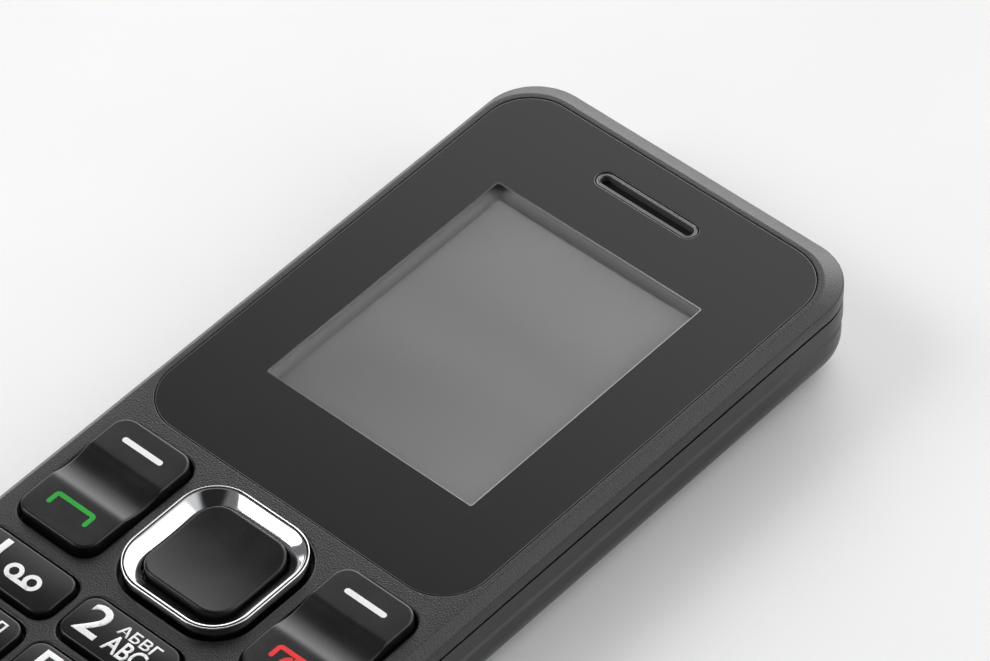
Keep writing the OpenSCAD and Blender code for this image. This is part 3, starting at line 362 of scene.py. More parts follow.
class Builder:
    """Collects rings, strips and flat fills into one mesh. Points come in millimetres."""

    def __init__(self):
        self.mesh = bmesh.new()

    def ring(self, points):
        return [self.mesh.verts.new(Vector(p) * MM) for p in points]

    def strip(self, lower, upper):
        """Faces between two rings of equal count, facing outwards when upper follows lower up a wall."""
        count = len(lower)
        for i in range(count):
            j = (i + 1) % count
            self.mesh.faces.new((lower[i], lower[j], upper[j], upper[i]))

    def loft(self, rings):
        """Strips through the rings, each a list of points. Returns the vertices of every ring."""
        made = [self.ring(points) for points in rings]
        for lower, upper in zip(made, made[1:]):
            self.strip(lower, upper)
        return made

    def within(self, rings):
        """Faces with all their vertices in these rings."""
        inside = {vert for ring in rings for vert in ring}
        return [face for face in self.mesh.faces if all(vert in inside for vert in face.verts)]

    def lining(self, rings):
        """Loft whose faces look into the hole that it lines."""
        made = self.loft(rings)
        for face in self.within(made):
            face.normal_flip()
        return made

    def fill(self, outer, holes=(), up=True):
        """Flat area inside the outer ring and outside the holes, all of them existing vertices."""
        edges = []
        for loop in (outer, *holes):
            for i, vert in enumerate(loop):
                after = loop[(i + 1) % len(loop)]
                edge = self.mesh.edges.get((vert, after)) or self.mesh.edges.new((vert, after))
                edges.append(edge)
        normal = Vector((0, 0, 1 if up else -1))
        made = bmesh.ops.triangle_fill(self.mesh, use_beauty=True, edges=edges, normal=normal)
        for face in made["geom"]:
            if isinstance(face, bmesh.types.BMFace):
                face.normal_update()
                if face.normal.dot(normal) < 0:
                    face.normal_flip()

    def rod(self, centre, radius, z0, z1):
        """Closed upright cylinder."""
        circle = []
        for i in range(ROD_STEPS):
            angle = math.tau * i / ROD_STEPS
            circle.append((centre[0] + radius * math.cos(angle), centre[1] + radius * math.sin(angle)))
        rings = self.loft([[(x, y, z) for x, y in circle] for z in (z0, z1)])
        self.mesh.faces.new(rings[0][::-1])
        self.mesh.faces.new(rings[1])

    def finish(self, name, body, material, nodes=()):
        """Makes the object, smooth-shaded up to the sharp angle, and puts it on its CAD body."""
        bmesh.ops.remove_doubles(self.mesh, verts=self.mesh.verts, dist=WELD)
        data = bpy.data.meshes.new(name)
        self.mesh.to_mesh(data)
        self.mesh.free()
        data.shade_smooth()
        data.set_sharp_from_angle(angle=math.radians(SHARP_ANGLE))
        data.materials.append(material)
        piece = bpy.data.objects.new(name, data)
        bpy.context.collection.objects.link(piece)
        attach(piece, body)
        if nodes:
            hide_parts(*nodes)
        return piece


class Nodes:
    """Short hand for the node tree of a material or world. Sockets are named with _ for a space."""

    def __init__(self, owner, out="ShaderNodeOutputMaterial"):
        owner.use_nodes = True
        self.owner = owner
        self.tree = owner.node_tree
        self.tree.nodes.clear()
        self.out = self.tree.nodes.new(out)

    def add(self, kind, **sockets):
        """New node with numbers or colours set on its sockets."""
        node = self.tree.nodes.new(kind)
        for key, value in sockets.items():
            node.inputs[key.replace("_", " ")].default_value = value
        return node

    def link(self, source, target):
        self.tree.links.new(source, target)

    def feed(self, node, **sources):
        """Links outputs of other nodes to a node's sockets."""
        for key, source in sources.items():
            self.link(source, node.inputs[key.replace("_", " ")])

    def position(self, stretch=(1, 1, 1)):
        """Place on the object, in millimetres, stretched along each axis."""
        place = self.add("ShaderNodeTexCoord")
        scale = self.add("ShaderNodeVectorMath")
        scale.operation = "MULTIPLY"
        scale.inputs[1].default_value = [s / MM for s in stretch]
        self.link(place.outputs["Object"], scale.inputs[0])
        return scale.outputs[0]

    def split(self, place):
        """Outputs X, Y and Z of a place."""
        node = self.add("ShaderNodeSeparateXYZ")
        self.link(place, node.inputs[0])
        return node.outputs

    def noise(self, place, scale, detail=2.0, roughness=0.5):
        node = self.add("ShaderNodeTexNoise", Scale=scale, Detail=detail, Roughness=roughness)
        self.feed(node, Vector=place)
        return node.outputs["Fac"]

    def ramp(self, value, stops):
        """Colour ramp; each stop is (position, colour)."""
        node = self.add("ShaderNodeValToRGB")
        elements = node.color_ramp.elements
        while len(elements) < len(stops):
            elements.new(0.5)
        for element, (position, colour) in zip(elements, stops):
            element.position = position
            element.color = (*colour, 1)
        self.feed(node, Fac=value)
        return node.outputs["Color"]

    def tones(self, value, colours, places=NOISE_SPAN):
        """Colour ramp through hex colours at these places."""
        return self.ramp(value, [(at, srgb(colour)) for at, colour in zip(places, colours)])

    def tint(self, value, colour, factors, places=NOISE_SPAN):
        """Colour that a noise darkens and lightens between two factors."""
        return self.ramp(value, [(at, shaded(colour, factor)) for at, factor in zip(places, factors)])

    def reached(self, value, start, end, low=0.0, high=1.0, rise="LINEAR"):
        """low up to start, high from end on, and a rise between."""
        node = self.add("ShaderNodeMapRange", From_Min=start, From_Max=end, To_Min=low, To_Max=high)
        node.interpolation_type = rise
        self.feed(node, Value=value)
        return node.outputs["Result"]

    def span(self, value, low, high):
        """Maps the used range of a noise to low..high."""
        return self.reached(value, *NOISE_SPAN, low, high)

    def math(self, operation, first, second=None):
        """One sum; second is a number, another output or nothing."""
        node = self.add("ShaderNodeMath")
        node.operation = operation
        self.link(first, node.inputs[0])
        if isinstance(second, (int, float)):
            node.inputs[1].default_value = second
        elif second is not None:
            self.link(second, node.inputs[1])
        return node.outputs[0]

    def mixed(self, share, first, second):
        """Colour between two others; a Mix node has its colours at sockets 6 and 7 and their result at 2."""
        node = self.add("ShaderNodeMix")
        node.data_type = "RGBA"
        self.link(share, node.inputs[0])
        self.link(first, node.inputs[6])
        self.link(second, node.inputs[7])
        return node.outputs[2]

    def bump(self, height, depth):
        """Bump of a height from 0 to 1, depth in millimetres."""
        node = self.add("ShaderNodeBump", Strength=1.0, Distance=depth * MM)
        self.feed(node, Height=height)
        return node.outputs["Normal"]

    def principled(self, **sockets):
        node = self.add("ShaderNodeBsdfPrincipled", **sockets)
        self.link(node.outputs[0], self.out.inputs["Surface"])
        return node


def srgb(value):
    """Linear colour of a hex string."""
    parts = [int(value[i:i + 2], 16) / 255 for i in (1, 3, 5)]
    return tuple(p / 12.92 if p <= 0.04045 else ((p + 0.055) / 1.055) ** 2.4 for p in parts)


def shaded(value, factor):
    """Linear colour of a hex string, made darker or lighter."""
    return tuple(min(1.0, c * factor) for c in srgb(value))


def moulded(name, colour, roughness, grain, depth, spread=0.12, specular=0.5):
    """Moulded plastic with an eroded grain of the given size and depth in millimetres."""
    n = Nodes(bpy.data.materials.new(name))
    place = n.position()
    fine = n.noise(place, 1 / grain, roughness=GRAIN_ROUGHNESS)
    broad = n.noise(place, MOULD_DRIFT)
    shader = n.principled(Specular_IOR_Level=specular)
    n.feed(shader, Base_Color=n.tint(fine, colour, (1 - spread, 1 + spread), GRAIN_SPAN))
    n.feed(shader, Roughness=n.span(broad, roughness - GLOSS_DRIFT, roughness + GLOSS_DRIFT))
    n.feed(shader, Normal=n.bump(fine, depth))
    return n.owner


def satin(name, colour, roughness, coat=0.0, coat_roughness=0.1, specular=0.5):
    """Smooth pressed plastic: a little uneven gloss and a faint ripple."""
    n = Nodes(bpy.data.materials.new(name))
    place = n.position()
    fine = n.noise(place, SATIN_RIPPLE)
    broad = n.noise(place, SATIN_DRIFT)
    shader = n.principled(Coat_Weight=coat, Coat_Roughness=coat_roughness, Specular_IOR_Level=specular)
    n.feed(shader, Base_Color=n.tint(broad, colour, SATIN_TINT))
    n.feed(shader, Roughness=n.span(broad, roughness - GLOSS_DRIFT, roughness + GLOSS_DRIFT))
    n.feed(shader, Normal=n.bump(fine, SATIN_DEPTH))
    return n.owner


def metal(name, colour, roughness, brushed=(1, 1, 1)):
    """Plated or pressed metal with faint wear in its gloss; brushed stretches the marks along an axis."""
    n = Nodes(bpy.data.materials.new(name))
    marks = n.noise(n.position(brushed), METAL_MARKS, detail=METAL_DETAIL)
    shader = n.principled(Metallic=1.0)
    n.feed(shader, Base_Color=n.tint(marks, colour, METAL_TINT))
    n.feed(shader, Roughness=n.span(marks, roughness * METAL_WEAR[0], roughness * METAL_WEAR[1]))
    n.feed(shader, Normal=n.bump(marks, METAL_DEPTH))
    return n.owner


def lens_surface(name, alpha=1.0):
    """Gloss of the acrylic lens over its dark print; a low alpha leaves what lies behind it in view."""
    n = Nodes(bpy.data.materials.new(name))
    veil = n.noise(n.position(), LENS_VEIL)
    shader = n.principled(IOR=ACRYLIC_IOR, Alpha=alpha, Specular_IOR_Level=LENS_GLOSS)
    n.feed(shader, Base_Color=n.tones(veil, LENS_TONES))
    n.feed(shader, Roughness=n.span(veil, *LENS_ROUGHNESS))
    return n.owner


def display_surface():
    """Switched-off display with faint rows of dots and a band round it. Painted shading: the grey is lighter
    towards the bottom right and darker towards the top left, to offset how the light falls on it; the band
    starts darker than the display, as its frame is, and is painted lighter the further it reaches under the
    print, against the print's shadow.
    """
    n = Nodes(bpy.data.materials.new("display"))
    place = n.position()
    rows = n.add("ShaderNodeTexWave", Scale=DISPLAY_ROWS, Distortion=0.0)
    rows.bands_direction = "Y"
    n.feed(rows, Vector=place)
    axes = n.split(place)
    borders, shadow_depths = [], []
    for axis, middle, half in zip("XY", ACTIVE_CENTRE, ACTIVE_HALF):
        away = n.math("ABSOLUTE", n.math("SUBTRACT", axes[axis], middle))
        borders.append(n.reached(away, half - ACTIVE_FADE / 2, half + ACTIVE_FADE / 2))
        shadow_depths.append(n.reached(away, half, half + BORDER_REACH))
    # Painted shading: lighter towards the bottom right, darker towards the top left
    slant = n.math("MULTIPLY", axes["X"], DISPLAY_SLANT)
    along = n.reached(n.math("ADD", axes["Y"], slant), *DISPLAY_SHADE_FALL)
    active = n.tones(along, DISPLAY_SHADE_TONES, WHOLE_SPAN)
    # Painted light: the band grows lighter the further it reaches into the print's shadow
    border = n.tones(n.math("ADD", *shadow_depths), BORDER_LIGHT_TONES, BORDER_STOPS)
    shader = n.principled(IOR=ACRYLIC_IOR, Roughness=DISPLAY_ROUGHNESS, Specular_IOR_Level=LENS_GLOSS)
    n.feed(shader, Base_Color=n.mixed(n.math("MAXIMUM", *borders), active, border))
    n.feed(shader, Normal=n.bump(rows.outputs["Fac"], DISPLAY_DEPTH))
    return n.owner


def printed(name, colour, specular=0.4):
    """Opaque screen print: nearly flat, with a slightly uneven ink film. It also gives the black paint of
    painted shade on the lens's sides and in the ring's groove.
    """
    n = Nodes(bpy.data.materials.new(name))
    ink = n.noise(n.position(), INK_FILM, detail=1.0)
    shader = n.principled(Specular_IOR_Level=specular)
    n.feed(shader, Base_Color=n.tint(ink, colour, INK_TINT))
    n.feed(shader, Roughness=n.span(ink, *INK_ROUGHNESS))
    return n.owner


def edge_highlight(name, dark, light):
    """Painted highlight on the cut edge of the print round the window: light grey, painted lighter on the
    right, where it faces the soft box.
    """
    n = Nodes(bpy.data.materials.new(name))
    half = MASK_WINDOW[0] / 2
    across = n.reached(n.split(n.position())["X"], -half, half)
    shader = n.principled(Roughness=CUT_ROUGHNESS, Specular_IOR_Level=CUT_SPECULAR)
    n.feed(shader, Base_Color=n.tones(across, (dark, light), WHOLE_SPAN))
    return n.owner


def floor_surface():
    """Pale studio floor with a fine grain, seen from above only."""
    n = Nodes(bpy.data.materials.new("studio_floor"))
    fine = n.noise(n.position(), FLOOR_GRAIN)
    shader = n.add("ShaderNodeBsdfPrincipled", Roughness=FLOOR_ROUGHNESS, Specular_IOR_Level=FLOOR_SPECULAR)
    n.feed(shader, Base_Color=n.tones(fine, FLOOR_TONES))
    clear = n.add("ShaderNodeBsdfTransparent")
    side = n.add("ShaderNodeNewGeometry")
    mix = n.add("ShaderNodeMixShader")
    n.link(side.outputs["Backfacing"], mix.inputs[0])
    n.link(shader.outputs[0], mix.inputs[1])
    n.link(clear.outputs[0], mix.inputs[2])
    n.link(mix.outputs[0], n.out.inputs["Surface"])
    return n.owner


def make_materials():
    """One procedural material for each of the record's slots, and for what is new here.

    The number after a colour is the roughness."""
    return {
        "housing": moulded("housing_plastic", "#171719", 0.32, grain=0.2, depth=0.05, spread=0.7,
                           specular=0.44),
        "cover": moulded("cover_plastic", "#1e1e1f", 0.36, grain=0.2, depth=0.018, spread=0.45),
        "soft_keys": satin("soft_key_plastic", "#151516", 0.27, specular=0.34),
        "number_keys": satin("number_key_plastic", "#141415", 0.25, specular=0.33),
        "carrier": satin("carrier_plastic", "#202021", 0.5),
        "chrome": metal("plated_ring", "#dcdddf", 0.09),
        "trim": satin("trim_plastic", "#565658", 0.2, coat=0.6, coat_roughness=0.08),
        "print": lens_surface("lens_print"),
        "lens": lens_surface("lens_acrylic", alpha=PANE_ALPHA),
        "lcd": display_surface(),
        "mesh": moulded("earpiece_cloth", "#0c0c0c", 0.8, grain=0.25, depth=0.05),
        "foam": moulded("gasket_foam", "#2a2a2a", 0.9, grain=0.3, depth=0.08),
        "sheet_metal": metal("pressed_steel", "#b9bcbf", 0.34, brushed=(0.2, 1, 1)),
        "light_guide": satin("light_guide_plastic", "#dcdcd6", 0.35),
        "flex": satin("flex_film", "#8a5a1e", 0.4),
        "silicone": satin("key_silicone", "#8e9092", 0.6),
        "dome_steel": metal("dome_steel", "#c3c6c8", 0.22),
        "board": satin("board_lacquer", "#12402a", 0.4),
        "frame_plastic": moulded("frame_plastic", "#1f1f20", 0.6, grain=0.15, depth=0.02),
        "screw_steel": metal("screw_steel", "#8e9194", 0.3),
        "battery": satin("battery_wrap", "#b5b8bb", 0.45),
        "connector": satin("connector_plastic", "#171717", 0.45),
        "gold": metal("contact_gold", "#d9b45c", 0.25),
        "speaker": satin("speaker_frame", "#26282a", 0.5),
        "weight_metal": metal("weight_metal", "#8a8c90", 0.35),
        "camera_glass": satin("camera_pane", "#07080b", 0.12, coat=1.0, coat_roughness=0.03),
        "copper": metal("antenna_copper", "#c77f4d", 0.35),
        "legend": printed("legend_white", "#e6e6e6"),
        "call": printed("legend_green", "#1d9a32", specular=0.25),
        "end": printed("legend_red", "#dc302d", specular=0.25),
        "lens_backed": lens_surface("lens_over_print"),
        "lens_edge": satin("lens_ground_edge", "#4a4a4b", 0.3),
        # Black paint on the lens's sides and in the ring's groove: painted shade
        "painted_shade_black": printed("lens_side_painted_shade", "#060606", specular=0.1),
        # Light hair line round the window: a painted highlight, lighter on the right
        "window_highlight_line": edge_highlight("window_cut_highlight", "#787878", "#c6c6c6"),
    }


def dress_frame(materials):
    """Gives every CAD node the material of its record slot."""
    for item in frame["record"]["subparts"]:
        node = frame["nodes"][item["node"]]
        node.data.materials.clear()
        node.data.materials.append(materials[item["material_slot"]])


def soft_bevel(low, high):
    """Bevel from the wall (0, 0) to the top (1, 1) with softened ends, as shares of its width and height."""
    foot = ((0, -low), (0, 0), (low, low))
    crest = ((1 - high, 1 - high), (1, 1), (1 + high, 1))
    path = []
    for start, corner, end in (foot, crest):
        for step in range(BEVEL_STEPS + 1):
            t = step / BEVEL_STEPS
            a, b, c = (1 - t) ** 2, 2 * t * (1 - t), t * t
            path.append(tuple(a * p + b * q + c * r for p, q, r in zip(start, corner, end)))
    return path


def shoulder_rings(size):
    """Rings of the housing's shoulder: a narrow bevel along the sides, a wide slope at the two ends."""
    outer = outline(size.x, size.y, CORNER_R, CORNER_STEPS, counts=HOUSING_COUNTS)
    width, length = size.x - 2 * SIDE_BEVEL[0], size.y - 2 * END_SLOPE[0]
    inner = outline(width, length, RIM_R, CORNER_STEPS, counts=HOUSING_COUNTS)
    rings = []
    for across, up in soft_bevel(*BEVEL_SOFT):
        ring = []
        for (x, y, _, ny), (ix, iy, _, _) in zip(outer, inner):
            height = blend_value(SIDE_BEVEL[1], END_SLOPE[1], ny * ny)
            ring.append((blend_value(x, ix, across), blend_value(y, iy, across), FACE_Z - height * (1 - up)))
        rings.append(ring)
    return rings


def lip_rings(points, centre, lip, depth_z):
    """Rings of an opening, from the foot of its wall up to its lip and onto the flat face."""
    rings = [grown(points, 0, depth_z, centre)]
    rings += [grown(points, -dx, FACE_Z + dz, centre) for dx, dz in conic(lip, lip, LIP_STEPS)]
    rings.append(grown(points, lip + LIP_FLAT, FACE_Z, centre))
    return rings


def plate_openings():
    """Outline, place and lip of every opening in the key plate."""
    openings = []
    keys = [(name, KEY_R) for name in NUMBER_KEYS] + [(name, ROCKER_R) for name in ROCKERS]
    for name, radius in keys:
        size = node_size(name)
        grow = 2 * (KEY_CLEAR - KEY_FLANGE)
        shape = outline(size.x + grow, size.y + grow, radius + KEY_CLEAR, *KEY_HOLE_MESH)
        openings.append((shape, node_centre(name).xy, LIP))
    size = node_size("nav_ring")
    shape = outline(size.x + 2 * NAV_CLEAR, size.y + 2 * NAV_CLEAR, RING_R + NAV_CLEAR, *RING_HOLE_MESH)
    openings.append((shape, node_centre("nav_ring").xy, LIP))
    mic = outline(2 * MIC_R, 2 * MIC_R, MIC_R - MIC_SPARE, *MIC_MESH)
    openings.append((mic, MIC_PLACE, MIC_LIP))
    return openings


def make_housing(materials):
    """Front housing: one closed shell with shoulders, lens pocket, key openings and their soft lips."""
    low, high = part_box("front_housing")
    size = (high - low) / MM
    body = outline(size.x, size.y, CORNER_R, CORNER_STEPS, counts=HOUSING_COUNTS)
    b = Builder()
    rings = [grown(body, -FRONT_WALL, LEDGE_Z[0]), grown(body, -FRONT_WALL, SEAM_Z)]
    rings += [grown(body, dx, SEAM_Z - dz) for dx, dz in reversed(conic(SEAM_EDGE, SEAM_EDGE, SEAM_STEPS))]
    rings += shoulder_rings(size)
    outer = b.loft(rings)

    pocket_at = (0, node_centre("display_lens").y)
    pocket = b.lining(lip_rings(outline(*POCKET, *LENS_MESH), pocket_at, POCKET_LIP, LEDGE_Z[1]))
    openings = [b.lining(lip_rings(*opening, PLATE_Z)) for opening in plate_openings()]
    b.fill(outer[-1], [pocket[-1]] + [opening[-1] for opening in openings])

    half, y0, y1 = KEY_ZONE
    zone_at = (0, (y0 + y1) / 2)
    shape = outline(2 * half, y1 - y0, KEY_ZONE_R, *ZONE_MESH)
    zone = b.lining([grown(shape, 0, z, zone_at) for z in (LEDGE_Z[0], PLATE_Z)])
    b.fill(zone[1], [opening[0] for opening in openings], up=False)

    shape = outline(*WINDOW, *WINDOW_MESH)
    window = b.lining([grown(shape, 0, z, (0, WINDOW_Y)) for z in LEDGE_Z])
    shape = outline(*SOUND_HOLE, *SOUND_MESH)
    sound_at = (0, node_centre("earpiece_trim").y)
    sound = b.lining([grown(shape, 0, z, sound_at) for z in LEDGE_Z])
    b.fill(pocket[0], [window[1], sound[1]])
    b.fill(outer[0], [zone[0], window[0], sound[0]], up=False)
    b.finish("housing_shell", "phone", materials["housing"], ["front_housing"])


def cap_mesh(builder, shape, centre, flange, levels, edge, top, medial, inner):
    """Key cap: flange between two levels, wall, rounded edge and a shaped top.

    top(x, y) is the height of the surface; its inner rings shrink to the half lengths in medial."""
    z0, z1 = levels
    cx, cy = centre

    def lifted(points, drop=0.0):
        return [(cx + x, cy + y, top(x, y) + drop) for x, y in points]

    def moved(offset):
        return [(x + nx * offset, y + ny * offset) for x, y, nx, ny in shape]

    narrow = flange - FLANGE_BEVEL
    rings = [grown(shape, narrow, z0, centre), grown(shape, flange, z0 + FLANGE_BEVEL, centre)]
    rings += [grown(shape, flange, z1 - FLANGE_BEVEL, centre), grown(shape, narrow, z1, centre)]
    rings.append(grown(shape, 0, z1, centre))
    rings += [lifted(moved(dx), dz) for dx, dz in conic(*edge, EDGE_STEPS)]
    rim = moved(-edge[0] - CAP_FLAT)
    rings.append(lifted(rim))
    for step in range(1, inner + 1):
        t = step / inner
        ring = []
        for x, y in rim:
            tx = max(-medial[0], min(medial[0], x))
            ty = max(-medial[1], min(medial[1], y))
            ring.append((blend_value(x, tx, t), blend_value(y, ty, t)))
        rings.append(lifted(ring))
    made = builder.loft(rings)
    builder.fill(made[0], up=False)


def pillow(width, length, rise):
    """Top of a number key: a shallow crown that falls towards the edges."""
    def top(x, y):
        u, v = 2 * x / width, 2 * y / length
        return rise - KEY_CROWN * (CROWN_SHARES[0] * u * u * u * u + CROWN_SHARES[1] * v * v)
    return top


def rocker_top(width, rise):
    """Top of a rocker key: nearly flat, with a valley across it that starts at two clear crests."""
    def top(x, y):
        u = 2 * x / width
        t = (y - DIP_UP) / DIP_HALF
        valley = DIP_DEPTH * (1 - t * t)
        dip = (valley + math.hypot(valley, DIP_SOFT)) / 2
        return rise - dip - ROCKER_FALL * u * u * u * u
    return top


def dish(width, length, rise):
    """Top of the centre key: hollow along its length, with sides that fall a little."""
    def top(x, y):
        u, v = 2 * x / width, 2 * y / length
        return rise - DISH_DEPTH * max(0.0, 1 - v * v) - CENTER_FALL * u * u * u * u
    return top


def make_number_key(name, materials):
    """Cap and plunger of a number key. Returns the height of its top, for the legend."""
    low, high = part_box(name)
    size, place = node_size(name), node_centre(name).xy
    width, length = size.x - 2 * KEY_FLANGE, size.y - 2 * KEY_FLANGE
    shape = outline(width, length, KEY_R, *KEY_MESH)
    top = pillow(width, length, high.z / MM)
    medial = ((width - length) / 2, 0)
    b = Builder()
    cap_mesh(b, shape, place, KEY_FLANGE, KEY_FLANGE_Z, KEY_EDGE, top, medial, KEY_RINGS)
    b.rod(place, PLUNGER_R, low.z / MM, KEY_FLANGE_Z[0] + ROD_REACH)
    b.finish(name + "_cap", name, materials["number_keys"], [name])
    return top


def make_rocker(name, materials):
    """Cap and two plungers of a rocker key. Returns the height of its top, for the legends."""
    low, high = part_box(name)
    size, place = node_size(name), node_centre(name).xy
    width, length = size.x - 2 * KEY_FLANGE, size.y - 2 * KEY_FLANGE
    shape = outline(width, length, ROCKER_R, *ROCKER_MESH)
    top = rocker_top(width, high.z / MM)
    medial = (0, (length - width) / 2)
    b = Builder()
    cap_mesh(b, shape, place, KEY_FLANGE, SWING_Z, ROCKER_EDGE, top, medial, ROCKER_RINGS)
    for side in (-1, 1):
        foot = (place.x, place.y + side * ROCKER_DOME_Y)
        b.rod(foot, PLUNGER_R, low.z / MM, SWING_Z[0] + ROD_REACH)
    b.finish(name + "_cap", name, materials["soft_keys"], [name])
    return top


def make_center_key(materials):
    """Cap and plunger of the dished key inside the ring."""
    name = "nav_center_key"
    low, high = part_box(name)
    size, place = node_size(name), node_centre(name).xy
    width, length = size.x - 2 * CENTER_FLANGE, size.y - 2 * CENTER_FLANGE
    shape = outline(width, length, CENTER_R, *CENTER_MESH)
    top = dish(width, length, high.z / MM)
    medial = (0, (length - width) / 2)
    b = Builder()
    cap_mesh(b, shape, place, CENTER_FLANGE, SWING_Z, CENTER_EDGE, top, medial, CENTER_RINGS)
    b.rod(place, PLUNGER_R, low.z / MM, SWING_Z[0] + ROD_REACH)
    b.finish("nav_center_cap", name, materials["soft_keys"], [name])


def make_ring(materials):
    """Plated ring: a fine bead round its rim, a groove painted black as painted shade, a narrow flat, and a
    wide bevel inwards.
    """
    name = "nav_ring"
    low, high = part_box(name)
    size, place = node_size(name), node_centre(name).xy
    shape = outline(size.x, size.y, RING_R, *RING_MESH)
    top = high.z / MM
    half = RING_BEAD / 2
    groove = -RING_BEAD - RING_GROOVE_W

    def corner(at, height, edge):
        return [(at + dx, height + dz) for dx, dz in edge]

    path = [(-RING_BAND, RING_Z0), (-RING_FOOT, RING_Z0), (0, RING_Z0 + RING_FOOT)]
    path += corner(0, top, conic(half, half, BEAD_STEPS))
    path += [(-RING_BEAD - dx, top + dz) for dx, dz in reversed(conic(half, RING_GROOVE, BEAD_STEPS))][1:]
    first = len(path) - 1
    path.append((groove, top - RING_GROOVE))
    path += corner(groove, top, RING_FLAT_EDGE)
    last = len(path) - 1
    path += corner(-RING_RIM, top, RING_RIM_EDGE)
    path += corner(-RING_BAND, top - RING_BEVEL, RING_INNER_EDGE)
    path.append((-RING_BAND, RING_Z0))
    b = Builder()
    made = b.loft([grown(shape, dx, z, place) for dx, z in path])
    # The groove takes the black paint: painted shade in the recess
    for face in b.within(made[first:last]):
        face.material_index = GROOVE_SHADE
    for side in (-1, 1):
        foot = (place.x + side * RING_POST_X, place.y)
        b.rod(foot, RING_POST_R, low.z / MM, RING_Z0 + ROD_REACH)
    piece = b.finish("nav_ring_band", name, materials["chrome"], [name])
    piece.data.materials.append(materials["painted_shade_black"])


def make_trim(materials):
    """Earpiece trim: a slim frame in the lens slot, with a fine ridge along both of its edges."""
    low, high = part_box("earpiece_trim")
    size, place = node_size("earpiece_trim"), node_centre("earpiece_trim").xy
    shape = outline(size.x, size.y, size.y / 2 - SLOT_SPARE, *SLOT_MESH)
    z0, z1 = low.z / MM, high.z / MM
    path = [(-TRIM_WALL, z0), (0, z0)]
    path += [(dx, z1 + dz) for dx, dz in TRIM_RIDGE]
    path += [(-TRIM_WALL - dx, z1 + dz) for dx, dz in reversed(TRIM_RIDGE)]
    path.append((-TRIM_WALL, z0))
    b = Builder()
    b.loft([grown(shape, dx, z, place) for dx, z in path])
    b.finish("earpiece_rim", "phone", materials["trim"], ["earpiece_trim"])


def lens_outlines():
    """Outline and place of the lens, and of the earpiece slot in it."""
    size, place = node_size("display_lens"), node_centre("display_lens").xy
    shape = outline(size.x, size.y, POCKET[2] - LENS_GAP, *LENS_MESH)
    slot = outline(*SLOT, SLOT[1] / 2 - SLOT_SPARE, *SLOT_MESH)
    return shape, place, slot, (0, node_centre("earpiece_trim").y)


def make_print(materials):
    """Print in the lens: a thin dark sheet, cut out round the display window and the earpiece."""
    shape, place, slot, slot_place = lens_outlines()
    window = outline(*MASK_WINDOW, *PANE_MESH)
    b = Builder()
    outer = b.loft([grown(shape, -PRINT_IN, z, place) for z in PRINT_Z])
    holes = []
    for points, at in ((slot, slot_place), (window, (0, WINDOW_Y))):
        holes.append(b.lining([grown(points, PRINT_IN, z, at) for z in PRINT_Z]))
    b.fill(outer[1], [hole[1] for hole in holes])
    b.fill(outer[0], [hole[0] for hole in holes], up=False)
    b.finish("lens_print", "phone", materials["print"], ["lens_mask"])


def make_display(materials):
    """Front of the display: a slab that stands up in the ledge's window, close below the lens."""
    shape = outline(*DISPLAY_FRONT, *PANE_MESH)
    path = [(0, DISPLAY_Z[0])]
    path += [(dx, DISPLAY_Z[1] + dz) for dx, dz in conic(DISPLAY_EDGE, DISPLAY_EDGE, DISPLAY_STEPS)]
    b = Builder()
    made = b.loft([grown(shape, dx, z, (0, WINDOW_Y)) for dx, z in path])
    b.fill(made[-1])
    b.fill(made[0], up=False)
    b.finish("display_front", "phone", materials["lcd"])


def make_window_highlight(materials):
    """Painted highlight on the cut edge of the print round the display window: a light hair line just below
    the lens's upper face.
    """
    shape = outline(*MASK_WINDOW, *WINDOW_MESH)
    outside, inside, z = WINDOW_LINE
    path = [(inside, z - WINDOW_LINE_T), (outside, z - WINDOW_LINE_T), (outside, z), (inside, z)]
    b = Builder()
    b.loft([grown(shape, dx, height, (0, WINDOW_Y)) for dx, height in path + path[:1]])
    b.finish("window_highlight_line", "phone", materials["window_highlight_line"])


def make_lens(materials):
    """Flush lens with a rounded edge and the earpiece slot, clear over the window and dark elsewhere. Its
    sides are painted black: painted shade in the gap round it.
    """
    shape, place, slot, slot_place = lens_outlines()
    base, face_z = LENS_Z
    path = [(0, base)] + [(dx, face_z + dz) for dx, dz in conic(LENS_EDGE, LENS_EDGE, LENS_STEPS)]
    path.append((-LENS_EDGE - LENS_FLAT, face_z))
    b = Builder()
    outer = b.loft([grown(shape, dx, z, place) for dx, z in path])
    inner = b.lining([grown(slot, -dx, z, slot_place) for dx, z in path])
    pane = b.ring(grown(outline(*MASK_WINDOW, *PANE_MESH), 0, face_z, (0, WINDOW_Y)))
    b.fill(outer[-1], [inner[-1], pane])
    for face in b.mesh.faces:
        face.material_index = LENS_BACKED
    b.fill(pane)
    b.fill(outer[0], [inner[0]], up=False)
    for face in b.mesh.faces:
        heights = sorted(vert.co.z / MM for vert in face.verts)
        if heights[-1] < base + LENS_NEAR[0]:
            face.material_index = LENS_PANE
        # Faces that reach down to the lens's foot are its sides: black paint, painted shade in the gap round
        # the lens
        elif heights[0] < base + LENS_NEAR[0]:
            face.material_index = LENS_SIDE
        elif heights[0] < face_z - LENS_NEAR[1]:
            face.material_index = LENS_RIM
    piece = b.finish("lens_plate", "phone", materials["lens"], ["display_lens"])
    for key in ("lens_edge", "painted_shade_black", "lens_backed"):
        piece.data.materials.append(materials[key])


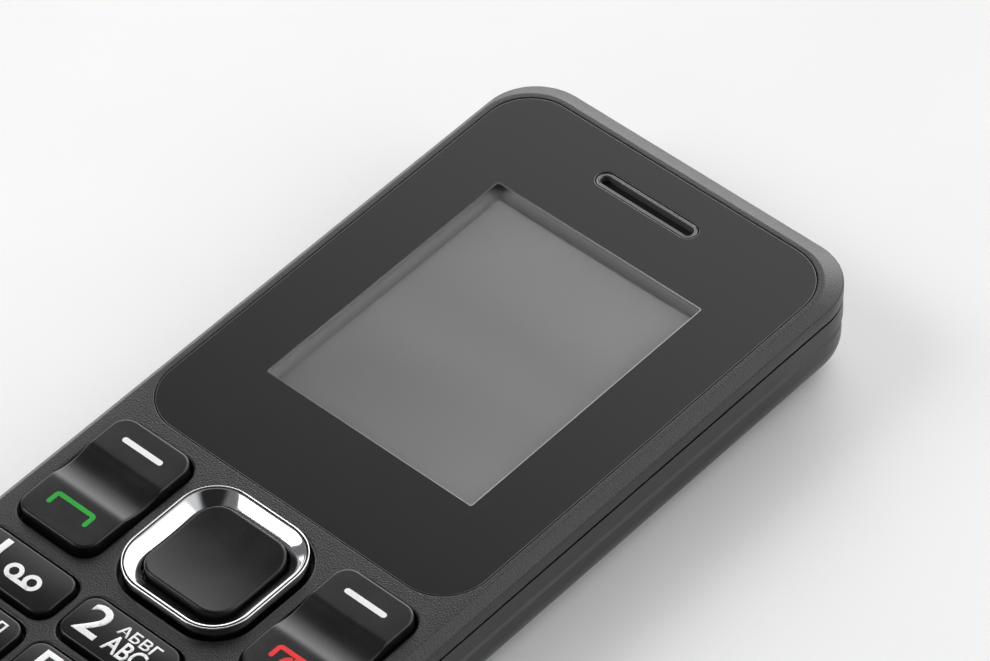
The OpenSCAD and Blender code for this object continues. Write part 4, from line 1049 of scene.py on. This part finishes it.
def conform(data, place, top):
    """Cuts a flat mesh, in millimetres, along a grid, lays it on a key's top and gives it a thickness."""
    mesh = bmesh.new()
    mesh.from_mesh(data)
    for axis in (Vector((1, 0, 0)), Vector((0, 1, 0))):
        reach = [vert.co.dot(axis) for vert in mesh.verts]
        at = math.ceil(min(reach) / PRINT_GRID) * PRINT_GRID
        while at < max(reach):
            whole = mesh.verts[:] + mesh.edges[:] + mesh.faces[:]
            bmesh.ops.bisect_plane(mesh, geom=whole, dist=PRINT_CUT, plane_co=axis * at, plane_no=axis)
            at += PRINT_GRID
    bmesh.ops.remove_doubles(mesh, verts=mesh.verts, dist=PRINT_MERGE)
    bmesh.ops.dissolve_degenerate(mesh, dist=PRINT_MERGE, edges=mesh.edges)
    mesh.normal_update()
    for face in mesh.faces:
        if face.normal.z < 0:
            face.normal_flip()
    below = thickened(mesh)
    for vert in mesh.verts:
        x, y = vert.co.x, vert.co.y
        rise = LEGEND_LIFT - LEGEND_DEPTH if vert in below else LEGEND_LIFT
        vert.co = Vector((place[0] + x, place[1] + y, top(x, y) + rise)) * MM
    mesh.normal_update()
    mesh.to_mesh(data)
    mesh.free()


def thickened(mesh):
    """Closes a flat sheet with a copy of it that looks down and a wall between the two.

    Returns the copy's vertices."""
    runs = []
    for edge in mesh.edges:
        if len(edge.link_faces) == 1:
            loop = edge.link_loops[0]
            runs.append((loop.vert, loop.link_loop_next.vert))
    made = bmesh.ops.duplicate(mesh, geom=mesh.verts[:] + mesh.edges[:] + mesh.faces[:])
    twin = made["vert_map"]
    below = {item for item in made["geom"] if isinstance(item, bmesh.types.BMVert)}
    for item in made["geom"]:
        if isinstance(item, bmesh.types.BMFace):
            item.normal_flip()
    for first, second in runs:
        mesh.faces.new((second, first, twin[first], twin[second]))
    return below


def glyphs(text, height, at, bold, wide, centred=False):
    """Flat mesh of a text in millimetres. height is that of a capital; at is its left foot, or its middle."""
    curve = bpy.data.curves.new("glyphs", "FONT")
    curve.body = text
    curve.size = height / CAPITAL
    curve.offset = bold
    curve.resolution_u = GLYPH_STEPS
    holder = bpy.data.objects.new("glyphs", curve)
    bpy.context.collection.objects.link(holder)
    bpy.context.view_layer.update()
    shown = holder.evaluated_get(bpy.context.evaluated_depsgraph_get())
    data = bpy.data.meshes.new_from_object(shown)
    xs = [vert.co.x for vert in data.vertices]
    foot = (min(xs) + max(xs)) / 2 if centred else min(xs)
    for vert in data.vertices:
        vert.co.x = at[0] + (vert.co.x - foot) * wide
        vert.co.y += at[1]
    bpy.data.objects.remove(holder)
    bpy.data.curves.remove(curve)
    return data


def ribbon(points, width, closed=False):
    """Flat mesh of a stroke of constant width with round ends, in millimetres."""
    mesh = bmesh.new()
    half = width / 2
    count = len(points)
    left, right = [], []
    for i, (x, y) in enumerate(points):
        before = points[i - 1] if i or closed else points[i]
        after = points[(i + 1) % count] if i < count - 1 or closed else points[i]
        along = Vector((after[0] - before[0], after[1] - before[1]))
        along.normalize()
        left.append((x - along.y * half, y + along.x * half))
        right.append((x + along.y * half, y - along.x * half))
    lefts = [mesh.verts.new((*p, 0)) for p in left]
    rights = [mesh.verts.new((*p, 0)) for p in right]
    for i in range(count if closed else count - 1):
        j = (i + 1) % count
        mesh.faces.new((rights[i], rights[j], lefts[j], lefts[i]))
    ends = [(points[-1], rights[-1], lefts[-1]), (points[0], lefts[0], rights[0])]
    for (x, y), first, last in [] if closed else ends:
        start = math.atan2(first.co.y - y, first.co.x - x)
        fan = [first]
        for step in range(1, STROKE_END_STEPS):
            angle = start + math.pi * step / STROKE_END_STEPS
            fan.append(mesh.verts.new((x + half * math.cos(angle), y + half * math.sin(angle), 0)))
        fan.append(last)
        mesh.faces.new(fan)
    data = bpy.data.meshes.new("stroke")
    mesh.to_mesh(data)
    mesh.free()
    return data


def joined(parts):
    """One mesh of several flat ones."""
    mesh = bmesh.new()
    for part in parts:
        mesh.from_mesh(part)
        bpy.data.meshes.remove(part)
    data = bpy.data.meshes.new("print")
    mesh.to_mesh(data)
    mesh.free()
    return data


def lay_print(name, body, parts, top, material):
    """Makes one printed piece of flat meshes on a key's top."""
    data = joined(parts)
    conform(data, node_centre(body).xy, top)
    data.name = name
    data.materials.append(material)
    piece = bpy.data.objects.new(name, data)
    bpy.context.collection.objects.link(piece)
    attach(piece, body)


def arc(centre, radius, start, end, steps):
    """Points of an arc, angles in degrees."""
    points = []
    for step in range(steps + 1):
        angle = math.radians(blend_value(start, end, step / steps))
        points.append((centre[0] + radius * math.cos(angle), centre[1] + radius * math.sin(angle)))
    return points


def voicemail():
    """Two loops joined by a line along their foot."""
    x, y = VOICEMAIL_AT
    radius = VOICEMAIL_REACH * VOICEMAIL_LOOP
    half = VOICEMAIL_REACH / 2 - radius
    parts = []
    for side in (-1, 1):
        ring = arc((x + side * half, y), radius, 0, 360, SIGN_STEPS)[:-1]
        parts.append(ribbon(ring, LEGEND_STROKE, closed=True))
    foot = [(x - half, y - radius), (x, y - radius), (x + half, y - radius)]
    parts.append(ribbon(foot, LEGEND_STROKE))
    return parts


def handset():
    """A handset seen from the side: a bar with two ends turned down."""
    x, y = HANDSET_AT
    width, height = HANDSET_SIZE
    half = width / 2
    corner = HANDSET_CORNER
    points = [(x - half, y - height), (x - half, y - corner)]
    points += arc((x - half + corner, y - corner), corner, 180, 90, HANDSET_STEPS)[1:]
    points += arc((x + half - corner, y - corner), corner, 90, 0, HANDSET_STEPS)
    points.append((x + half, y - height))
    return ribbon(points, HANDSET_STROKE)


def power_sign():
    """An open ring with a short stroke in its gap."""
    x, y = POWER_AT
    ring = arc(POWER_AT, POWER_R, *POWER_ARC, SIGN_STEPS)
    stroke = [(x, y + POWER_FOOT), (x, y + POWER_R * POWER_MIDDLE), (x, y + POWER_R)]
    return [ribbon(ring, HANDSET_STROKE), ribbon(stroke, HANDSET_STROKE)]


def make_legends(tops, materials):
    """Prints the keys: digits and letters, the soft keys' bars, the handsets and the power sign."""
    for name, digit in zip(NUMBER_KEYS, DIGITS):
        at = (DIGIT_AT[0] + DIGIT_SHIFT.get(digit, 0), DIGIT_AT[1])
        parts = [glyphs(digit, at=at, centred=True, **DIGIT)]
        if digit in LETTERS:
            small, large = LETTERS[digit]
            parts.append(glyphs(small, **SMALL))
            parts.append(glyphs(large, **LARGE))
        if name == "key_1":
            parts += voicemail()
        lay_print(name + "_legend", name, parts, tops[name], materials["legend"])
    for name, sign in zip(ROCKERS, ("call", "end")):
        bar = ribbon([(-BAR_HALF, BAR_Y), (0, BAR_Y), (BAR_HALF, BAR_Y)], BAR_STROKE)
        lay_print(name + "_bar", name, [bar], tops[name], materials["legend"])
        parts = [handset()]
        if sign == "end":
            parts += power_sign()
        lay_print(name + "_handset", name, parts, tops[name], materials[sign])


def make_stage():
    """Pale floor under the phone."""
    square = [(-1, -1), (1, -1), (1, 1), (-1, 1)]
    points = [(x * FLOOR_REACH, y * FLOOR_REACH, 0) for x, y in square]
    data = bpy.data.meshes.new("floor")
    data.from_pydata(points, [], [(0, 1, 2, 3)])
    data.materials.append(floor_surface())
    floor = bpy.data.objects.new("floor", data)
    bpy.context.collection.objects.link(floor)


def direction(azimuth, elevation):
    """Unit vector towards these angles in degrees, from the front at azimuth 0."""
    a, e = math.radians(azimuth), math.radians(elevation)
    return Vector((math.sin(a) * math.cos(e), -math.cos(a) * math.cos(e), math.sin(e)))


def make_camera():
    """Camera at the photograph's place, angle and focal length."""
    back = direction(CAMERA_AZIMUTH, CAMERA_ELEVATION)
    roll = math.radians(CAMERA_ROLL)
    right = (-back).cross(Vector((0, 0, 1))).normalized()
    up = right.cross(-back)
    turned = math.cos(roll) * right + math.sin(roll) * up
    upright = -math.sin(roll) * right + math.cos(roll) * up
    data = bpy.data.cameras.new("camera")
    data.lens = CAMERA_LENS
    data.sensor_width = CAMERA_SENSOR
    data.clip_start, data.clip_end = CAMERA_CLIP
    camera = bpy.data.objects.new("camera", data)
    matrix = Matrix((turned, upright, back)).transposed().to_4x4()
    matrix.translation = Vector(CAMERA_TARGET) * MM + back * CAMERA_DISTANCE * MM
    camera.matrix_world = matrix
    bpy.context.collection.objects.link(camera)
    bpy.context.scene.camera = camera


def make_soft_box():
    """Square soft light beside the phone."""
    back = direction(BOX_AZIMUTH, BOX_ELEVATION)
    data = bpy.data.lights.new("soft_box", "AREA")
    data.shape = "RECTANGLE"
    data.size, data.size_y = BOX_SIZE
    data.energy = BOX_POWER
    lamp = bpy.data.objects.new("soft_box", data)
    lamp.location = Vector(BOX_TARGET) + back * BOX_DISTANCE
    lamp.rotation_mode = "QUATERNION"
    lamp.rotation_quaternion = back.to_track_quat("Z", "Y")
    bpy.context.collection.objects.link(lamp)


def make_tent():
    """Light tent: a low level all round, white banks behind and above, and a darker one at the front."""
    n = Nodes(bpy.data.worlds.new("studio"), "ShaderNodeOutputWorld")
    bpy.context.scene.world = n.owner
    place = n.add("ShaderNodeTexCoord").outputs["Generated"]
    level = WORLD_BASE
    for towards, edge, power in WORLD_BANKS:
        dot = n.add("ShaderNodeVectorMath")
        dot.operation = "DOT_PRODUCT"
        dot.inputs[1].default_value = Vector(towards).normalized()
        n.link(place, dot.inputs[0])
        bank = n.reached(dot.outputs["Value"], *edge, high=power, rise="SMOOTHSTEP")
        level = n.math("ADD", bank, level)
    background = n.add("ShaderNodeBackground")
    n.feed(background, Strength=level)
    n.link(background.outputs[0], n.out.inputs["Surface"])


def corners(box):
    """A box's two corners as plain lists."""
    return [list(corner) for corner in box]


bpy.context.scene.view_settings.view_transform = "Standard"
make_camera()
make_tent()
make_soft_box()
make_stage()
looks = make_materials()
dress_frame(looks)
make_housing(looks)
make_lens(looks)
make_trim(looks)
make_print(looks)
make_display(looks)
make_window_highlight(looks)
key_tops = {name: make_number_key(name, looks) for name in NUMBER_KEYS}
key_tops.update({name: make_rocker(name, looks) for name in ROCKERS})
make_ring(looks)
make_center_key(looks)
make_legends(key_tops, looks)
